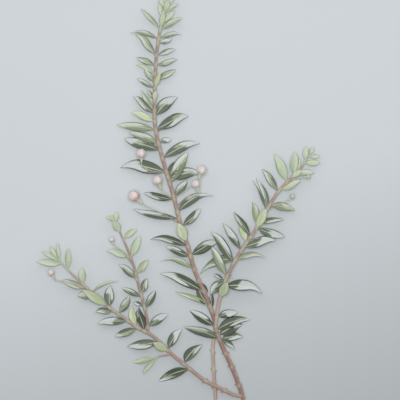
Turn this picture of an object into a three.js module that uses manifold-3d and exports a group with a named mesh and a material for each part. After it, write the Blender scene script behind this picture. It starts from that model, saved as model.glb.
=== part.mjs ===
// A cut sprig of common myrtle, lying on a flat surface, in millimetres, seen from above with +Z up.
// The woody foot carries a main shoot that forks off a right shoot, and a left shoot with a side shoot
// and a low twig. Leaves stand in near-opposite pairs, with single leaves turned up over the stem
// between them, and flower buds hang on stalks out of the leaf axils.
// The origin is the flat spot under the main stem, just below the fork, on which the sprig rests.
import * as THREE from 'three';
import { mergeVertices } from 'three/addons/utils/BufferGeometryUtils.js';
import Module from 'manifold-3d';

const wasm = await Module();
wasm.setup();

// Driving dimensions
const SEED = 7.31;
const BLADE_THICKNESS = 0.62;
const PETIOLE_LENGTH = 1.6;
const PETIOLE_HALF_WIDTH = 0.55;
const BLADE_FOLD = 0.16; // how far the two halves of a blade rise from its midrib, per unit of half width
const STEM_RADIUS = 1.75; // the main stem at its cut end
const JOINT_GAP = 0.3; // between two pieces that grow on from each other
const BUD_RADIUS = 3.6; // a flower bud that is about to open
const STALK_RADIUS = 0.5;

// Facets
const STEM_SIDES = 6;
const RING_STEP = 8;
const STALK_SIDES = 4;
const BUD_SIDES = 10; // twice the five sepals and petals

const GREEN_LEAF = { color: 0x5d7355, roughness: 0.45, metalness: 0 };
const YOUNG_LEAF = { color: 0xa9bd86, roughness: 0.55, metalness: 0 };
const RED_BARK = { color: 0xb28478, roughness: 0.75, metalness: 0 };
const CALYX_GREEN = { color: 0xa8b98a, roughness: 0.6, metalness: 0 };
const PETAL_PINK = { color: 0xe3bfbd, roughness: 0.6, metalness: 0 };

const radians = THREE.MathUtils.degToRad;
const lerp = THREE.MathUtils.lerp;
const UP = new THREE.Vector3(0, 0, 1);

// A repeatable random number from 0 to 1 for a numbered draw.
function scatter(draw) {
  const wave = Math.sin(draw * 12.9898 + SEED) * 43758.5453;
  return wave - Math.floor(wave);
}

// A value that runs straight between [share along, value] stops.
function between(stops, share) {
  const last = stops[stops.length - 1];
  if (share >= last[0]) return last[1];
  const next = stops.findIndex((stop) => stop[0] > share);
  if (next <= 0) return stops[0][1];
  const [a, b] = [stops[next - 1], stops[next]];
  return lerp(a[1], b[1], (share - a[0]) / (b[0] - a[0]));
}

// Each stem is a smooth line through a few points: across, along and height above the surface.
const MAIN_ROUTE = [
  [20.9, -52.5, 1.75], [18, -43.5, 1.9], [11.6, -27, 2.3], [4.1, -11, 1.8], [0, 0, 1.25],
  [-1.2, 7.5, 1.5], [-7.5, 24.8, 2.8], [-15.8, 44.2, 4.2], [-21, 62.2, 5], [-27.1, 81, 5.8],
  [-31.5, 99, 6.4], [-37.2, 118.5, 6.8], [-42.2, 136, 6.8], [-45.6, 153, 6.6], [-46.1, 169, 6.2],
  [-45.7, 188, 5.8], [-44.6, 207, 5.6],
  [-41.7, 226, 5.6], [-37.6, 243, 5.9], [-34.8, 254, 6.6],
];
const RIGHT_ROUTE = [
  [-0.3, 1, 1.4], [0.6, 10.5, 5], [2.6, 23, 8.6], [7.4, 38, 10.6], [13.7, 51, 11], [20.8, 62.5, 10.4],
  [28.1, 72.8, 9.6], [37.5, 89.2, 8.4], [45.5, 102, 7.6], [53, 110.8, 7.2], [63.5, 121.5, 6.6],
  [71, 133.5, 6.8],
];
const LEFT_ROUTE = [
  [19.7, -50, 2], [13, -48.6, 3.3], [7.3, -45.8, 4.1], [0, -42.4, 4.5], [-8.6, -37.9, 4.5],
  [-21.4, -27.8, 4.4],
  [-33.5, -18, 4.3], [-46.6, -5.2, 4.6], [-58.5, 1.5, 4.8], [-71.3, 10.5, 5], [-85.7, 21, 5],
  [-99.3, 33.8, 4.8],
  [-110.8, 44.6, 4.8], [-119.5, 54.2, 5.4],
];
const LEFT_SIDE_ROUTE = [
  [-51.2, -1.8, 4.6], [-51.6, 7.5, 6], [-53.9, 18, 6.8], [-58.2, 34.6, 6.8], [-62.7, 51, 6.4],
  [-69.6, 68, 5.8],
  [-77.8, 84.8, 6.6],
];
const LOW_TWIG_ROUTE = [[-33.5, -18, 4.3], [-38, -19, 4.7], [-42, -19.7, 4.7], [-47, -22, 4.3]];
const BARE_TWIG_ROUTE = [
  [-0.3, -3, 1.4], [-1.5, -6.8, 1.2], [-2.4, -12.8, 1.2], [-2.1, -24, 1.15], [-1.3, -36, 1.15],
  [-0.3, -52.5, 1.15],
];

function route(points) {
  return new THREE.CatmullRomCurve3(points.map((p) => new THREE.Vector3(...p)), false, 'centripetal');
}

const MAIN = route(MAIN_ROUTE);
const LEAFY_FROM = 44; // along the main stem from its cut end, where its leafy shoot starts
const LEFT = route(LEFT_ROUTE);
const LEFT_BARE = 38; // the bare length at the foot of the left shoot

// The leafy shoots. Lengths along a shoot are measured from its own foot, and from is where it starts
// and tip where its soft young end does. left and right hold the leaves on that side, each as how far
// along it stands, how long it is and, where they aren't the shoot's own, the angle between the stem and
// the leaf's tip, its width, how far its tip bends towards the shoot's tip for each unit of length, its
// rise and its roll, which turns it on its edge. A leaf at more than HANGS hangs back under the shoot, and
// upright holds those that are turned up over it, with their angle to the left.
const HANGS = 118;
const SHOOTS = [
  {
    name: 'main_shoot', curve: MAIN, from: LEAFY_FROM, tip: 286.5, radius: [1.6, 0.7], seed: 100,
    width: 0.29,
    splay: [[0, 56], [0.5, 63], [1, 50]],
    left: [
      [49, 28, 52, 7.5, -0.3, 32], [59, 23, 52, 7.5], [74, 28, 46, 4, -0.28, 3], [75, 19, 8, 7, 0.3],
      [87, 35, 43, 7.5, -0.14], [105, 24, 56, 4.5, -0.4, 0], [115, 20, 48, 6, 0.15],
      [123, 28, 58, 6, -0.15], [145, 35, 69, 5.5], [160, 24, 65, 5.5, 0.1], [181, 34, 65, 9.5, -0.11],
      [198, 29, 57, 8.5, -0.05], [203, 24, 53, 7, -0.1], [214, 30, 72, 6.5], [220, 19, 60, 5.5],
      [226, 21, 55, 5.5], [228, 19, 38, 4], [236, 10, 35, 3], [245, 16, 64, 3.5], [249, 13, 42, 4],
      [256, 16, 66, 3, -0.1], [262, 16, 66, 4.5], [270, 22, 51, 5.5], [282, 21, 81, 4, -0.22],
      [290, 21, 55, 3.5], [298, 12, 30, 3.5], [305, 11, 44], [311, 8, 36],
    ],
    right: [
      [49, 14, 147, 4.5, -0.3], [49, 18, 105, 6.5, -0.1], [52, 20, 83, 10, -0.1],
      [56, 26, 86, 8, -0.25, 2], [71, 14, 18, 4], [96, 12, 166], [116, 24, 73, 8],
      [139, 20, 64, 6.5, 0.2], [150, 27, 75, 7, -0.4], [162, 16, 52, 6], [172, 27, 44, 9],
      [177, 24, 97, 8.5, -0.08], [178, 12, 50, 5.5], [192, 30, 82, 7.5, -0.16], [204, 10, 89, 4.5, -0.2],
      [212, 25, 61, 5.5], [214, 27, 74, 8.5, -0.05], [224, 23, 50, 9, -0.24], [251, 18, 58, 5, 0.05],
      [263, 16, 71, 4.5, 0.3], [270, 15, 66, 4], [279, 11, 69, 4], [283, 17, 70, 3.5, -0.15],
      [289, 19, 49, 5, -0.1], [294, 14, 40, 3.5], [302, 13, 37], [309, 10, 40],
    ],
    upright: [[126.5, 20, 4, 7.5], [235, 10, -5, 4], [245, 17, -19, 3.5], [291, 16, -1, 4], [303, 12]],
  },
  {
    name: 'right_shoot', curve: route(RIGHT_ROUTE), from: 0, tip: 117, radius: [1.35, 0.6], seed: 200,
    width: 0.29,
    splay: [[0, 62], [1, 50]],
    left: [
      [38, 10, 79], [39, 16, 151, 8], [42, 25, 58, 6.5], [56, 26, 139, 7.5, -0.5, -8, 5],
      [53, 29, 61, 7.5, 0.05], [64, 25, 67, 6], [71, 19, 53, 6], [76, 23, 64, 5.5], [86, 19, 37, 5],
      [99, 24, 51, 5.5, -0.3], [101, 23, 52, 4.5, -0.4], [116, 21, 71, 5.5], [126, 23, 66, 7],
      [133, 18, 47, 7], [136, 11, 35, 4], [147, 11, 34, 4.5], [152, 7, 2, 3.5],
    ],
    right: [
      [9, 16, 67, 6.5, -0.2], [34, 28, 78, 8.5, -0.26], [39, 6, 30], [55, 21, 53, 4.5, -0.45, 0],
      [66, 25, 40, 7, -0.1], [68, 15, 32, 4.5, 0, 4], [85, 22, 80, 7, 0.2], [87, 19, 48, 4.5, -0.3],
      [104, 19, 68, 6.5, -0.1], [118, 17, 23, 5.5, 0.15], [135, 14, 36, 4.5], [145, 12, 54, 4.5],
      [151, 9, 61, 3],
    ],
    upright: [[25, 20], [84, 19], [130, 12]],
  },
  {
    name: 'left_shoot', curve: LEFT, from: LEFT_BARE, tip: 142, radius: [1.3, 0.6], seed: 300, width: 0.4,
    splay: [[0, 66], [1, 46]],
    left: [
      [45, 26, 63, 7.5, -0.25], [76, 24, 58, 7.5], [95, 19, 49, 6, 0.1], [104, 23, 35, 6.5],
      [117, 14, 38, 5], [136, 13, 43, 6, 0.1], [144, 20, 27, 5.5, 0.15], [170, 19, 48, 5],
      [173, 15, 20, 3.5], [174.5, 12, -6, 3.5],
    ],
    right: [
      [51, 19, 95, 8, -0.35], [67, 19, 76, 7, -0.15], [89.5, 19, 50, 7, 0, -10, -16], [97, 15, 38, 6],
      [113, 16, 92, 6], [121, 17, 51, 7.5], [138.5, 20, 112, 2.5, -0.5, 2], [148, 13, 42, 5.5],
      [164, 16, 52, 5], [173, 14, 34, 3],
    ],
    upright: [[66, 17, 12], [124, 26, 0, 7]],
  },
  {
    name: 'left_side_shoot', curve: route(LEFT_SIDE_ROUTE), from: 0, tip: 55, radius: [1.05, 0.5],
    seed: 400, width: 0.42,
    splay: [[0, 56], [1, 46]],
    left: [[20, 8.5], [27, 17, 49, 4.5], [41, 18, 35, 5.5], [58, 19, 53, 5], [88, 7, 33]],
    right: [
      [4, 18, 59, 6.5, -0.1], [18, 16, 48, 6], [29, 13, 39, 5.5], [45, 14, 52, 5.5, 0.15],
      [58, 18, 46, 6], [73, 13, 74, 4.5], [86, 9, 33, 4],
    ],
    upright: [[78, 14, 0, 5.5], [87, 8]],
  },
  {
    name: 'low_twig', curve: route(LOW_TWIG_ROUTE), from: 0, tip: 99, radius: [0.75, 0.55], seed: 500,
    width: 0.36,
    splay: [[0, 30]],
    left: [[12, 16, 22, 3.5]],
    right: [[13.3, 18, 22, 4]],
    upright: [],
  },
];

// Where a shoot or stem runs, for a length along its curve: its point, tangent, left and upward sides.
function along(curve, distance) {
  const share = THREE.MathUtils.clamp(distance / curve.getLength(), 0, 1);
  const point = curve.getPointAt(share);
  const tangent = curve.getTangentAt(share);
  const left = new THREE.Vector3().crossVectors(UP, tangent).normalize();
  const top = new THREE.Vector3().crossVectors(tangent, left);
  return { point, tangent, left, top };
}

// Turns a closed list of triangles into a solid, whose shared corners are merged.
function solid(geometry) {
  const bare = new THREE.BufferGeometry();
  bare.setAttribute('position', geometry.getAttribute('position'));
  if (geometry.index) bare.setIndex(geometry.index);
  const merged = mergeVertices(bare, 1e-4);
  const mesh = new wasm.Mesh({
    numProp: 3,
    vertProperties: merged.attributes.position.array,
    triVerts: new Uint32Array(merged.index.array),
  });
  return new wasm.Manifold(mesh);
}

// One solid out of several that run into each other.
function joined(solids) {
  return solids.reduce((whole, each) => whole.add(each));
}

function fromCorners(corners, faces) {
  const geometry = new THREE.BufferGeometry().setFromPoints(corners);
  geometry.setIndex(faces);
  return solid(geometry);
}

// A round stem along a curve, with its radius running from one end to the other, closed at both ends.
function stem(curve, from, to, radii, sides = STEM_SIDES, step = RING_STEP) {
  const rings = Math.max(2, Math.ceil((to - from) / step));
  const corners = [];
  const faces = [];
  for (let i = 0; i <= rings; i += 1) {
    const { point, left, top } = along(curve, lerp(from, to, i / rings));
    const radius = lerp(radii[0], radii[1], i / rings);
    for (let j = 0; j < sides; j += 1) {
      const angle = ((j + 0.5) / sides) * 2 * Math.PI;
      corners.push(point.clone().addScaledVector(left, radius * Math.cos(angle))
        .addScaledVector(top, radius * Math.sin(angle)));
    }
  }
  for (let i = 0; i < rings; i += 1) {
    for (let j = 0; j < sides; j += 1) {
      const [a, b] = [i * sides + j, i * sides + ((j + 1) % sides)];
      faces.push(a, b, a + sides, b, b + sides, a + sides);
    }
  }
  const last = rings * sides;
  for (let j = 1; j < sides - 1; j += 1) {
    faces.push(0, j + 1, j);
    faces.push(last, last + j, last + j + 1);
  }
  return fromCorners(corners, faces);
}

// Half the width of a blade at a share of its length, as a share of its greatest half width.
function outline(share) {
  return Math.sin(Math.PI * share ** 0.88) ** 0.76;
}

// The corners of one blade at a share of its length: left edge, midrib and right edge.
function bladeRow(leaf, share) {
  const { root, ahead, across, face, length, width, arch, sickle } = leaf;
  const reach = length * share;
  const bladeShare = Math.max(0, (reach - PETIOLE_LENGTH) / (length - PETIOLE_LENGTH));
  const half = Math.max(PETIOLE_HALF_WIDTH * (1 - share), outline(bladeShare) * width / 2);
  const bend = length * share * share;
  const middle = root.clone().addScaledVector(ahead, reach).addScaledVector(face, -arch * bend)
    .addScaledVector(across, sickle * bend);
  return [1, 0, -1].map((side) => {
    const corner = middle.clone().addScaledVector(across, side * half)
      .addScaledVector(face, BLADE_FOLD * half * Math.abs(side));
    corner.z = Math.max(corner.z, leaf.lowest);
    return corner;
  });
}

// One leaf: a thin blade folded along its midrib, pointed at its end, with its root inside the stem.
const BLADE_STATIONS = [0, 0.12, 0.32, 0.58, 0.82, 1];
const SMALL_BLADE_STATIONS = [0, 0.18, 0.48, 0.8, 1];
const SMALL_BLADE = 17;

function blade(leaf) {
  const stations = leaf.length < SMALL_BLADE ? SMALL_BLADE_STATIONS : BLADE_STATIONS;
  const lift = leaf.face.clone().multiplyScalar(BLADE_THICKNESS / 2);
  leaf.lowest = Math.abs(lift.z);
  const rows = stations.map((share, i) => {
    const row = bladeRow(leaf, share);
    return i === stations.length - 1 ? [row[1]] : row;
  });
  const corners = [];
  const at = rows.map((row) => row.map((corner) => {
    corners.push(corner.clone().add(lift), corner.clone().sub(lift));
    return corners.length - 2;
  }));
  const faces = [];
  // Both faces of the blade are split alike: an even corner is on top, and the next one is below it.
  const skin = (a, b, c) => faces.push(a, b, c, a + 1, c + 1, b + 1);
  const wall = (a, b) => faces.push(a, a + 1, b, b, a + 1, b + 1);
  for (let i = 0; i < at.length - 1; i += 1) {
    const [near, far] = [at[i], at[i + 1]];
    if (far.length === 1) {
      skin(near[0], near[1], far[0]);
      skin(near[1], near[2], far[0]);
      wall(far[0], near[0]);
      wall(near[2], far[0]);
    } else {
      for (let j = 0; j < 2; j += 1) {
        skin(near[j], near[j + 1], far[j]);
        skin(near[j + 1], far[j + 1], far[j]);
      }
      wall(far[0], near[0]);
      wall(near[2], far[2]);
    }
  }
  wall(at[0][0], at[0][1]);
  wall(at[0][1], at[0][2]);
  return fromCorners(corners, faces);
}

// The frame of one leaf from where it grows: splay is its angle from the stem, rise its angle above the
// stem's own plane, and roll turns it about its midrib.
function leafFrame(shoot, distance, side, { splay, rise, roll, length, ...sizes }) {
  const { point, tangent, left, top } = along(shoot.curve, distance);
  const share = (distance - shoot.from) / (shoot.curve.getLength() - shoot.from);
  const inset = lerp(...shoot.radius, share) * 0.4;
  const flat = tangent.clone().multiplyScalar(Math.cos(radians(splay)))
    .addScaledVector(left, side * Math.sin(radians(splay)));
  const ahead = flat.multiplyScalar(Math.cos(radians(rise))).addScaledVector(top, Math.sin(radians(rise)));
  const across = new THREE.Vector3().crossVectors(UP, ahead).normalize();
  const face = new THREE.Vector3().crossVectors(ahead, across);
  across.applyAxisAngle(ahead, radians(roll));
  face.applyAxisAngle(ahead, radians(roll));
  const root = point.addScaledVector(ahead, inset);
  return { root, ahead, across, face, length: length - inset, ...sizes };
}

// How a leaf is held: by its own numbers and, where it has none, by the shoot's rule and the leaf's draws.
function lieOf(shoot, [distance, length, angle, width, bend, rise, roll], kind, side) {
  const share = (distance - shoot.from) / (shoot.curve.getLength() - shoot.from);
  const draw = (k) => scatter(shoot.seed + distance * 0.71 + side * 0.29 + k * 0.037);
  const young = distance > shoot.tip;
  const lie = {
    length,
    width: width ?? length * shoot.width * lerp(0.92, 1.1, draw(1)),
    splay: angle ?? between(shoot.splay, share) + lerp(-5, 5, draw(2)),
    rise: rise ?? (young ? lerp(0, 14, draw(3)) : lerp(-6, 7, draw(3))),
    roll: side * (roll ?? lerp(-14, 24, draw(4))),
    arch: young ? 0.04 : lerp(0.04, 0.2, draw(5)),
    sickle: side * lerp(-0.15, 0.1, draw(6)),
  };
  if (bend !== undefined) {
    lie.splay += THREE.MathUtils.radToDeg(Math.atan(bend));
    lie.sickle = -side * bend;
  }
  if (kind === 'upright') {
    const splay = angle === undefined ? lerp(4, 10, draw(2)) : side * angle;
    const broad = width ?? Math.max(lie.width, length * 0.36);
    const turned = { roll: 0, arch: -0.02, sickle: 0 };
    Object.assign(lie, { splay, rise: lerp(34, 42, draw(3)), width: broad, ...turned });
  } else if (lie.splay > HANGS) {
    Object.assign(lie, { rise: -lerp(6, 12, draw(3)), roll: side * 18, arch: 0 });
  }
  return lie;
}

// All the leaves of a shoot.
function leavesOf(shoot) {
  const held = (leaf, kind, side) => ({
    ...leafFrame(shoot, leaf[0], side, lieOf(shoot, leaf, kind, side)),
    young: leaf[0] > shoot.tip,
  });
  return [
    ...shoot.left.map((leaf) => held(leaf, 'side', 1)),
    ...shoot.right.map((leaf) => held(leaf, 'side', -1)),
    ...shoot.upright.map((leaf, i) => held(leaf, 'upright', i % 2 ? 1 : -1)),
  ];
}

// A shoot's solid pieces: the leafy part, and the young tip that grows on from it. Each takes in the bud
// stalks that leave its own stem.
function shootPieces(shoot, buds) {
  const { curve, from, tip, radius } = shoot;
  const total = curve.getLength();
  const leaves = leavesOf(shoot);
  const piece = (name, start, end, young, finish) => {
    const radii = [start, end].map((distance) => lerp(...radius, (distance - from) / (total - from)));
    const own = leaves.filter((leaf) => leaf.young === young).map(blade);
    const stalks = buds.filter((bud) => bud.root > tip === young).map((bud) => bud.stalk);
    return { name, body: joined([stem(curve, start, end, radii), ...own, ...stalks]), finish };
  };
  const pieces = [piece(shoot.name, from, Math.min(tip, total), false, GREEN_LEAF)];
  if (tip < total) pieces.push(piece(`${shoot.name}_tip`, tip + JOINT_GAP, total, true, YOUNG_LEAF));
  return pieces;
}

// Flower buds: the shoot that each grows on, how far along it its stalk leaves the stem, the bend and the
// end of the stalk, the way the bud points, and its size as a share of the largest.
const BUDS = [
  {
    shoot: 'main_shoot', root: 181, size: 0.9,
    bend: [-49, 119.5, 11.5], end: [-55.6, 125, 12.5], points: [-0.06, 0.98, 0.15],
  },
  {
    shoot: 'main_shoot', root: 158, size: 0.95,
    bend: [-37, 101.5, 12], end: [-40.9, 105, 13.5], points: [-0.36, 0.92, 0.1],
  },
  {
    shoot: 'main_shoot', root: 141, size: 1.12,
    bend: [-42.5, 88.5, 12], end: [-54.7, 94.4, 13], points: [-0.72, 0.69, 0.12],
  },
  {
    shoot: 'main_shoot', root: 161, size: 0.95,
    bend: [-20, 107, 12.5], end: [-13.2, 112.6, 13.5], points: [0.32, 0.94, 0.12],
  },
  {
    shoot: 'main_shoot', root: 154, size: 0.82,
    bend: [-21, 100, 14], end: [-13.2, 103, 16.2], points: [-0.28, 0.95, 0.1],
  },
  {
    shoot: 'left_side_shoot', root: 51, size: 0.5,
    bend: [-71, 60, 10.5], end: [-76.3, 64, 11.5], points: [-0.4, 0.91, 0.1],
  },
  {
    shoot: 'left_shoot', root: 139, size: 0.62,
    bend: [-112, 36, 9], end: [-121, 38.6, 9.5], points: [-0.45, 0.88, 0.12],
  },
  {
    shoot: 'right_shoot', root: 100, size: 0.5,
    bend: [49, 95, 11], end: [53.8, 97.4, 11.5], points: [0.75, 0.66, 0.1],
  },
  {
    shoot: 'right_shoot', root: 118.5, size: 0.38,
    bend: [61, 114, 10], end: [65.6, 114.6, 10.5], points: [0.98, 0.12, 0.1],
  },
];

// Turns a geometry that was made standing on the origin so that it points along a direction from a place.
function placed(geometry, place, direction) {
  const turn = new THREE.Quaternion().setFromUnitVectors(UP, direction.clone().normalize());
  return geometry.applyMatrix4(new THREE.Matrix4().compose(place, turn, new THREE.Vector3(1, 1, 1)));
}

// A lathed shape standing along +Z, whose radius is multiplied by lobe(angle, height) at each corner.
function lobed(profile, lobe) {
  const points = profile.map(([radius, height]) => new THREE.Vector2(radius, height));
  const shape = new THREE.LatheGeometry(points, BUD_SIDES).rotateX(Math.PI / 2);
  const corners = shape.attributes.position;
  for (let i = 0; i < corners.count; i += 1) {
    const [x, y, z] = [corners.getX(i), corners.getY(i), corners.getZ(i)];
    const out = lobe(Math.atan2(y, x), z);
    corners.setXY(i, x * out, y * out);
  }
  return shape;
}

// A bud's own sizes, from its share of the largest.
function budSizes(size) {
  const radius = BUD_RADIUS * size;
  return { radius, seat: radius * 0.52, cup: radius * 1.2, foot: STALK_RADIUS * 1.1, lip: 0.6 };
}

// The calyx: a cup that widens from the stalk, with the points of five sepals round its rim.
function calyx(size) {
  const { seat, cup, foot, lip } = budSizes(size);
  const profile = [
    [0, 0], [foot, 0], [lerp(foot, seat, 0.6), cup * 0.42], [seat, cup - lip], [seat, cup], [0, cup],
  ];
  return lobed(profile, (angle, height) => (height > cup * 0.6 ? 1.22 + 0.42 * Math.cos(5 * angle) : 1));
}

// The petals: a closed globe of five petals, on a flat foot.
function petals(size) {
  const { radius, seat } = budSizes(size);
  const start = Math.asin(seat / radius);
  const turns = [0, 0.22, 0.48, 0.76];
  const profile = [[0, 0], ...turns.map((turn) => {
    const angle = lerp(start, Math.PI, turn);
    return [radius * Math.sin(angle), radius * (Math.cos(start) - Math.cos(angle))];
  }), [0, radius * (Math.cos(start) + 1)]];
  return lobed(profile, (angle) => 1 + 0.07 * Math.cos(5 * angle));
}

function budOf(bud) {
  const shoot = SHOOTS.find((each) => each.name === bud.shoot);
  const end = new THREE.Vector3(...bud.end);
  const points = new THREE.Vector3(...bud.points).normalize();
  const from = along(shoot.curve, bud.root).point;
  const curve = new THREE.CatmullRomCurve3(
    [from, new THREE.Vector3(...bud.bend), end.clone().addScaledVector(points, -1.2), end],
    false,
    'centripetal',
  );
  const stalk = stem(curve, 0, curve.getLength(), [STALK_RADIUS * 1.15, STALK_RADIUS], STALK_SIDES, 3.5);
  const calyxFoot = end.clone().addScaledVector(points, JOINT_GAP);
  const petalFoot = calyxFoot.clone().addScaledVector(points, budSizes(bud.size).cup + JOINT_GAP);
  return {
    shoot: bud.shoot,
    root: bud.root,
    stalk,
    calyx: solid(placed(calyx(bud.size), calyxFoot, points)),
    petals: solid(placed(petals(bud.size), petalFoot, points)),
  };
}

// The scars of fallen leaves on bare wood: small spurs in pairs on both sides.
function spurs(curve, distances, radius) {
  return distances.flatMap((distance, i) => [1, -1].map((side) => {
    const { point, tangent, left } = along(curve, distance + side * 0.8);
    const out = left.clone().multiplyScalar(side).addScaledVector(tangent, 0.8).normalize();
    const cone = new THREE.ConeGeometry(0.62, 2.2 + 0.6 * scatter(i + side), 5).rotateX(Math.PI / 2);
    return solid(placed(cone, point.clone().addScaledVector(left, side * radius * 0.8), out));
  }));
}

// All that lies below the surface, for wearing a flat spot on the foot.
function belowSurface() {
  return solid(new THREE.BoxGeometry(400, 400, 20).translate(0, 0, -10));
}

// The wood below the leaves: the main stem's foot and the left shoot's, which springs from it.
function woodyFoot() {
  const parts = [
    stem(MAIN, 0, LEAFY_FROM - JOINT_GAP, [STEM_RADIUS, 1.62]),
    stem(LEFT, 0, LEFT_BARE - JOINT_GAP, [1.35, 1.3]),
    ...spurs(MAIN, [11, 26, 37], 1.7),
    ...spurs(LEFT, [30], 1.3),
  ];
  return joined(parts).subtract(belowSurface());
}

// The bare twig that goes down from the fork.
function bareTwig() {
  const curve = route(BARE_TWIG_ROUTE);
  const parts = [stem(curve, 0, curve.getLength(), [1.15, 1.1]), ...spurs(curve, [13, 27, 41], 1.1)];
  return joined(parts).subtract(belowSurface()).subtract(socket(MAIN, 30, 80, 1.62));
}

// The space that a shoot keeps clear of the stem it grows from.
function socket(curve, from, to, radius) {
  return stem(curve, from, to, [radius + JOINT_GAP, radius + JOINT_GAP]);
}

function meshOf({ name, body, finish }) {
  const made = body.getMesh();
  const geometry = new THREE.BufferGeometry();
  const corners = new Float32Array(made.numVert * 3);
  for (let i = 0; i < made.numVert; i += 1) {
    corners.set(made.vertProperties.subarray(i * made.numProp, i * made.numProp + 3), i * 3);
  }
  geometry.setAttribute('position', new THREE.BufferAttribute(corners, 3));
  geometry.setIndex(new THREE.BufferAttribute(new Uint32Array(made.triVerts), 1));
  const mesh = new THREE.Mesh(geometry, new THREE.MeshStandardMaterial(finish));
  mesh.name = name;
  return mesh;
}

function sprig() {
  const buds = BUDS.map(budOf);
  const budsOn = (shoot) => buds.filter((bud) => bud.shoot === shoot.name);
  const pieces = SHOOTS.flatMap((shoot) => shootPieces(shoot, budsOn(shoot)));
  const cutBack = (name, space) => {
    const piece = pieces.find((each) => each.name === name);
    piece.body = piece.body.subtract(space);
  };
  cutBack('main_shoot', belowSurface());
  cutBack('right_shoot', socket(MAIN, 40, 85, 1.6));
  cutBack('left_side_shoot', socket(LEFT, 70, 105, 1.2));
  cutBack('low_twig', socket(LEFT, 45, 85, 1.3));
  const group = new THREE.Group();
  group.add(meshOf({ name: 'woody_foot', body: woodyFoot(), finish: RED_BARK }));
  group.add(meshOf({ name: 'bare_twig', body: bareTwig(), finish: RED_BARK }));
  pieces.forEach((piece) => group.add(meshOf(piece)));
  buds.forEach((bud, i) => {
    group.add(meshOf({ name: `bud_${i + 1}_calyx`, body: bud.calyx, finish: CALYX_GREEN }));
    group.add(meshOf({ name: `bud_${i + 1}_petals`, body: bud.petals, finish: PETAL_PINK }));
  });
  return group;
}

export default sprig();
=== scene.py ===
import math
from functools import partial

import bpy
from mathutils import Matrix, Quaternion, Vector


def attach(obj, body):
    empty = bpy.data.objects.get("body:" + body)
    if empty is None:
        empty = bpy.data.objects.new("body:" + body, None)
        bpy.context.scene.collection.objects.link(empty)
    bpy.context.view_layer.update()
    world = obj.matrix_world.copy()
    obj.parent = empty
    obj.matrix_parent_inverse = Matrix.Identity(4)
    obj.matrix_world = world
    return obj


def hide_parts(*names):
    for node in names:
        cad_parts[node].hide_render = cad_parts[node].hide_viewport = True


bl_info = {
    "name": "Myrtle Sprig",
    "version": (1, 0, 0),
    "blender": (4, 5, 0),
    "location": "3D View > Sidebar > Myrtle",
    "description": "Grows a cut sprig of common myrtle with leaves, bark and flower buds on a studio floor",
    "category": "Add Mesh",
}

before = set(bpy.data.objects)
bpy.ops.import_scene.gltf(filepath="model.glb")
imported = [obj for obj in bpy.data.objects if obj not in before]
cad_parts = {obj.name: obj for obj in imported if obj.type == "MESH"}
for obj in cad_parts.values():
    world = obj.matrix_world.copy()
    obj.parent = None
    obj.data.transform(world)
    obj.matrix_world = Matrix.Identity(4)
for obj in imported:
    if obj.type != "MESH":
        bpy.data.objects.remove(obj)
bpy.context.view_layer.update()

# One millimetre in metres, the seed of every draw, and the distance within which corners merge.
MM = 0.001
SEED = 7.31
MERGED = 2e-6
UP = Vector((0.0, 0.0, 1.0))

# The stems' lines, in millimetres: across, along and height above the surface.
MAIN_ROUTE = [
    (20.9, -52.5, 1.75), (18, -43.5, 1.9), (11.6, -27, 2.3), (4.1, -11, 1.8), (0, 0, 1.25), (-1.2, 7.5, 1.5),
    (-7.5, 24.8, 2.8), (-15.8, 44.2, 4.2), (-21, 62.2, 5), (-27.1, 81, 5.8), (-31.5, 99, 6.4),
    (-37.2, 118.5, 6.8), (-42.2, 136, 6.8), (-45.6, 153, 6.6), (-46.1, 169, 6.2), (-45.7, 188, 5.8),
    (-44.6, 207, 5.6), (-41.7, 226, 5.6), (-37.6, 243, 5.9), (-34.8, 254, 6.6),
]
RIGHT_ROUTE = [
    (-0.3, 1, 1.4), (0.6, 10.5, 5), (2.6, 23, 8.6), (7.4, 38, 10.6), (13.7, 51, 11), (20.8, 62.5, 10.4),
    (28.1, 72.8, 9.6), (37.5, 89.2, 8.4), (45.5, 102, 7.6), (53, 110.8, 7.2), (63.5, 121.5, 6.6),
    (71, 133.5, 6.8),
]
LEFT_ROUTE = [
    (19.7, -50, 2), (13, -48.6, 3.3), (7.3, -45.8, 4.1), (0, -42.4, 4.5), (-8.6, -37.9, 4.5),
    (-21.4, -27.8, 4.4), (-33.5, -18, 4.3), (-46.6, -5.2, 4.6), (-58.5, 1.5, 4.8), (-71.3, 10.5, 5),
    (-85.7, 21, 5), (-99.3, 33.8, 4.8), (-110.8, 44.6, 4.8), (-119.5, 54.2, 5.4),
]
LEFT_SIDE_ROUTE = [
    (-51.2, -1.8, 4.6), (-51.6, 7.5, 6), (-53.9, 18, 6.8), (-58.2, 34.6, 6.8), (-62.7, 51, 6.4),
    (-69.6, 68, 5.8), (-77.8, 84.8, 6.6),
]
LOW_TWIG_ROUTE = [(-33.5, -18, 4.3), (-38, -19, 4.7), (-42, -19.7, 4.7), (-47, -22, 4.3)]
BARE_TWIG_ROUTE = [
    (-0.3, -3, 1.4), (-1.5, -6.8, 1.2), (-2.4, -12.8, 1.2), (-2.1, -24, 1.15), (-1.3, -36, 1.15),
    (-0.3, -52.5, 1.15),
]

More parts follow.
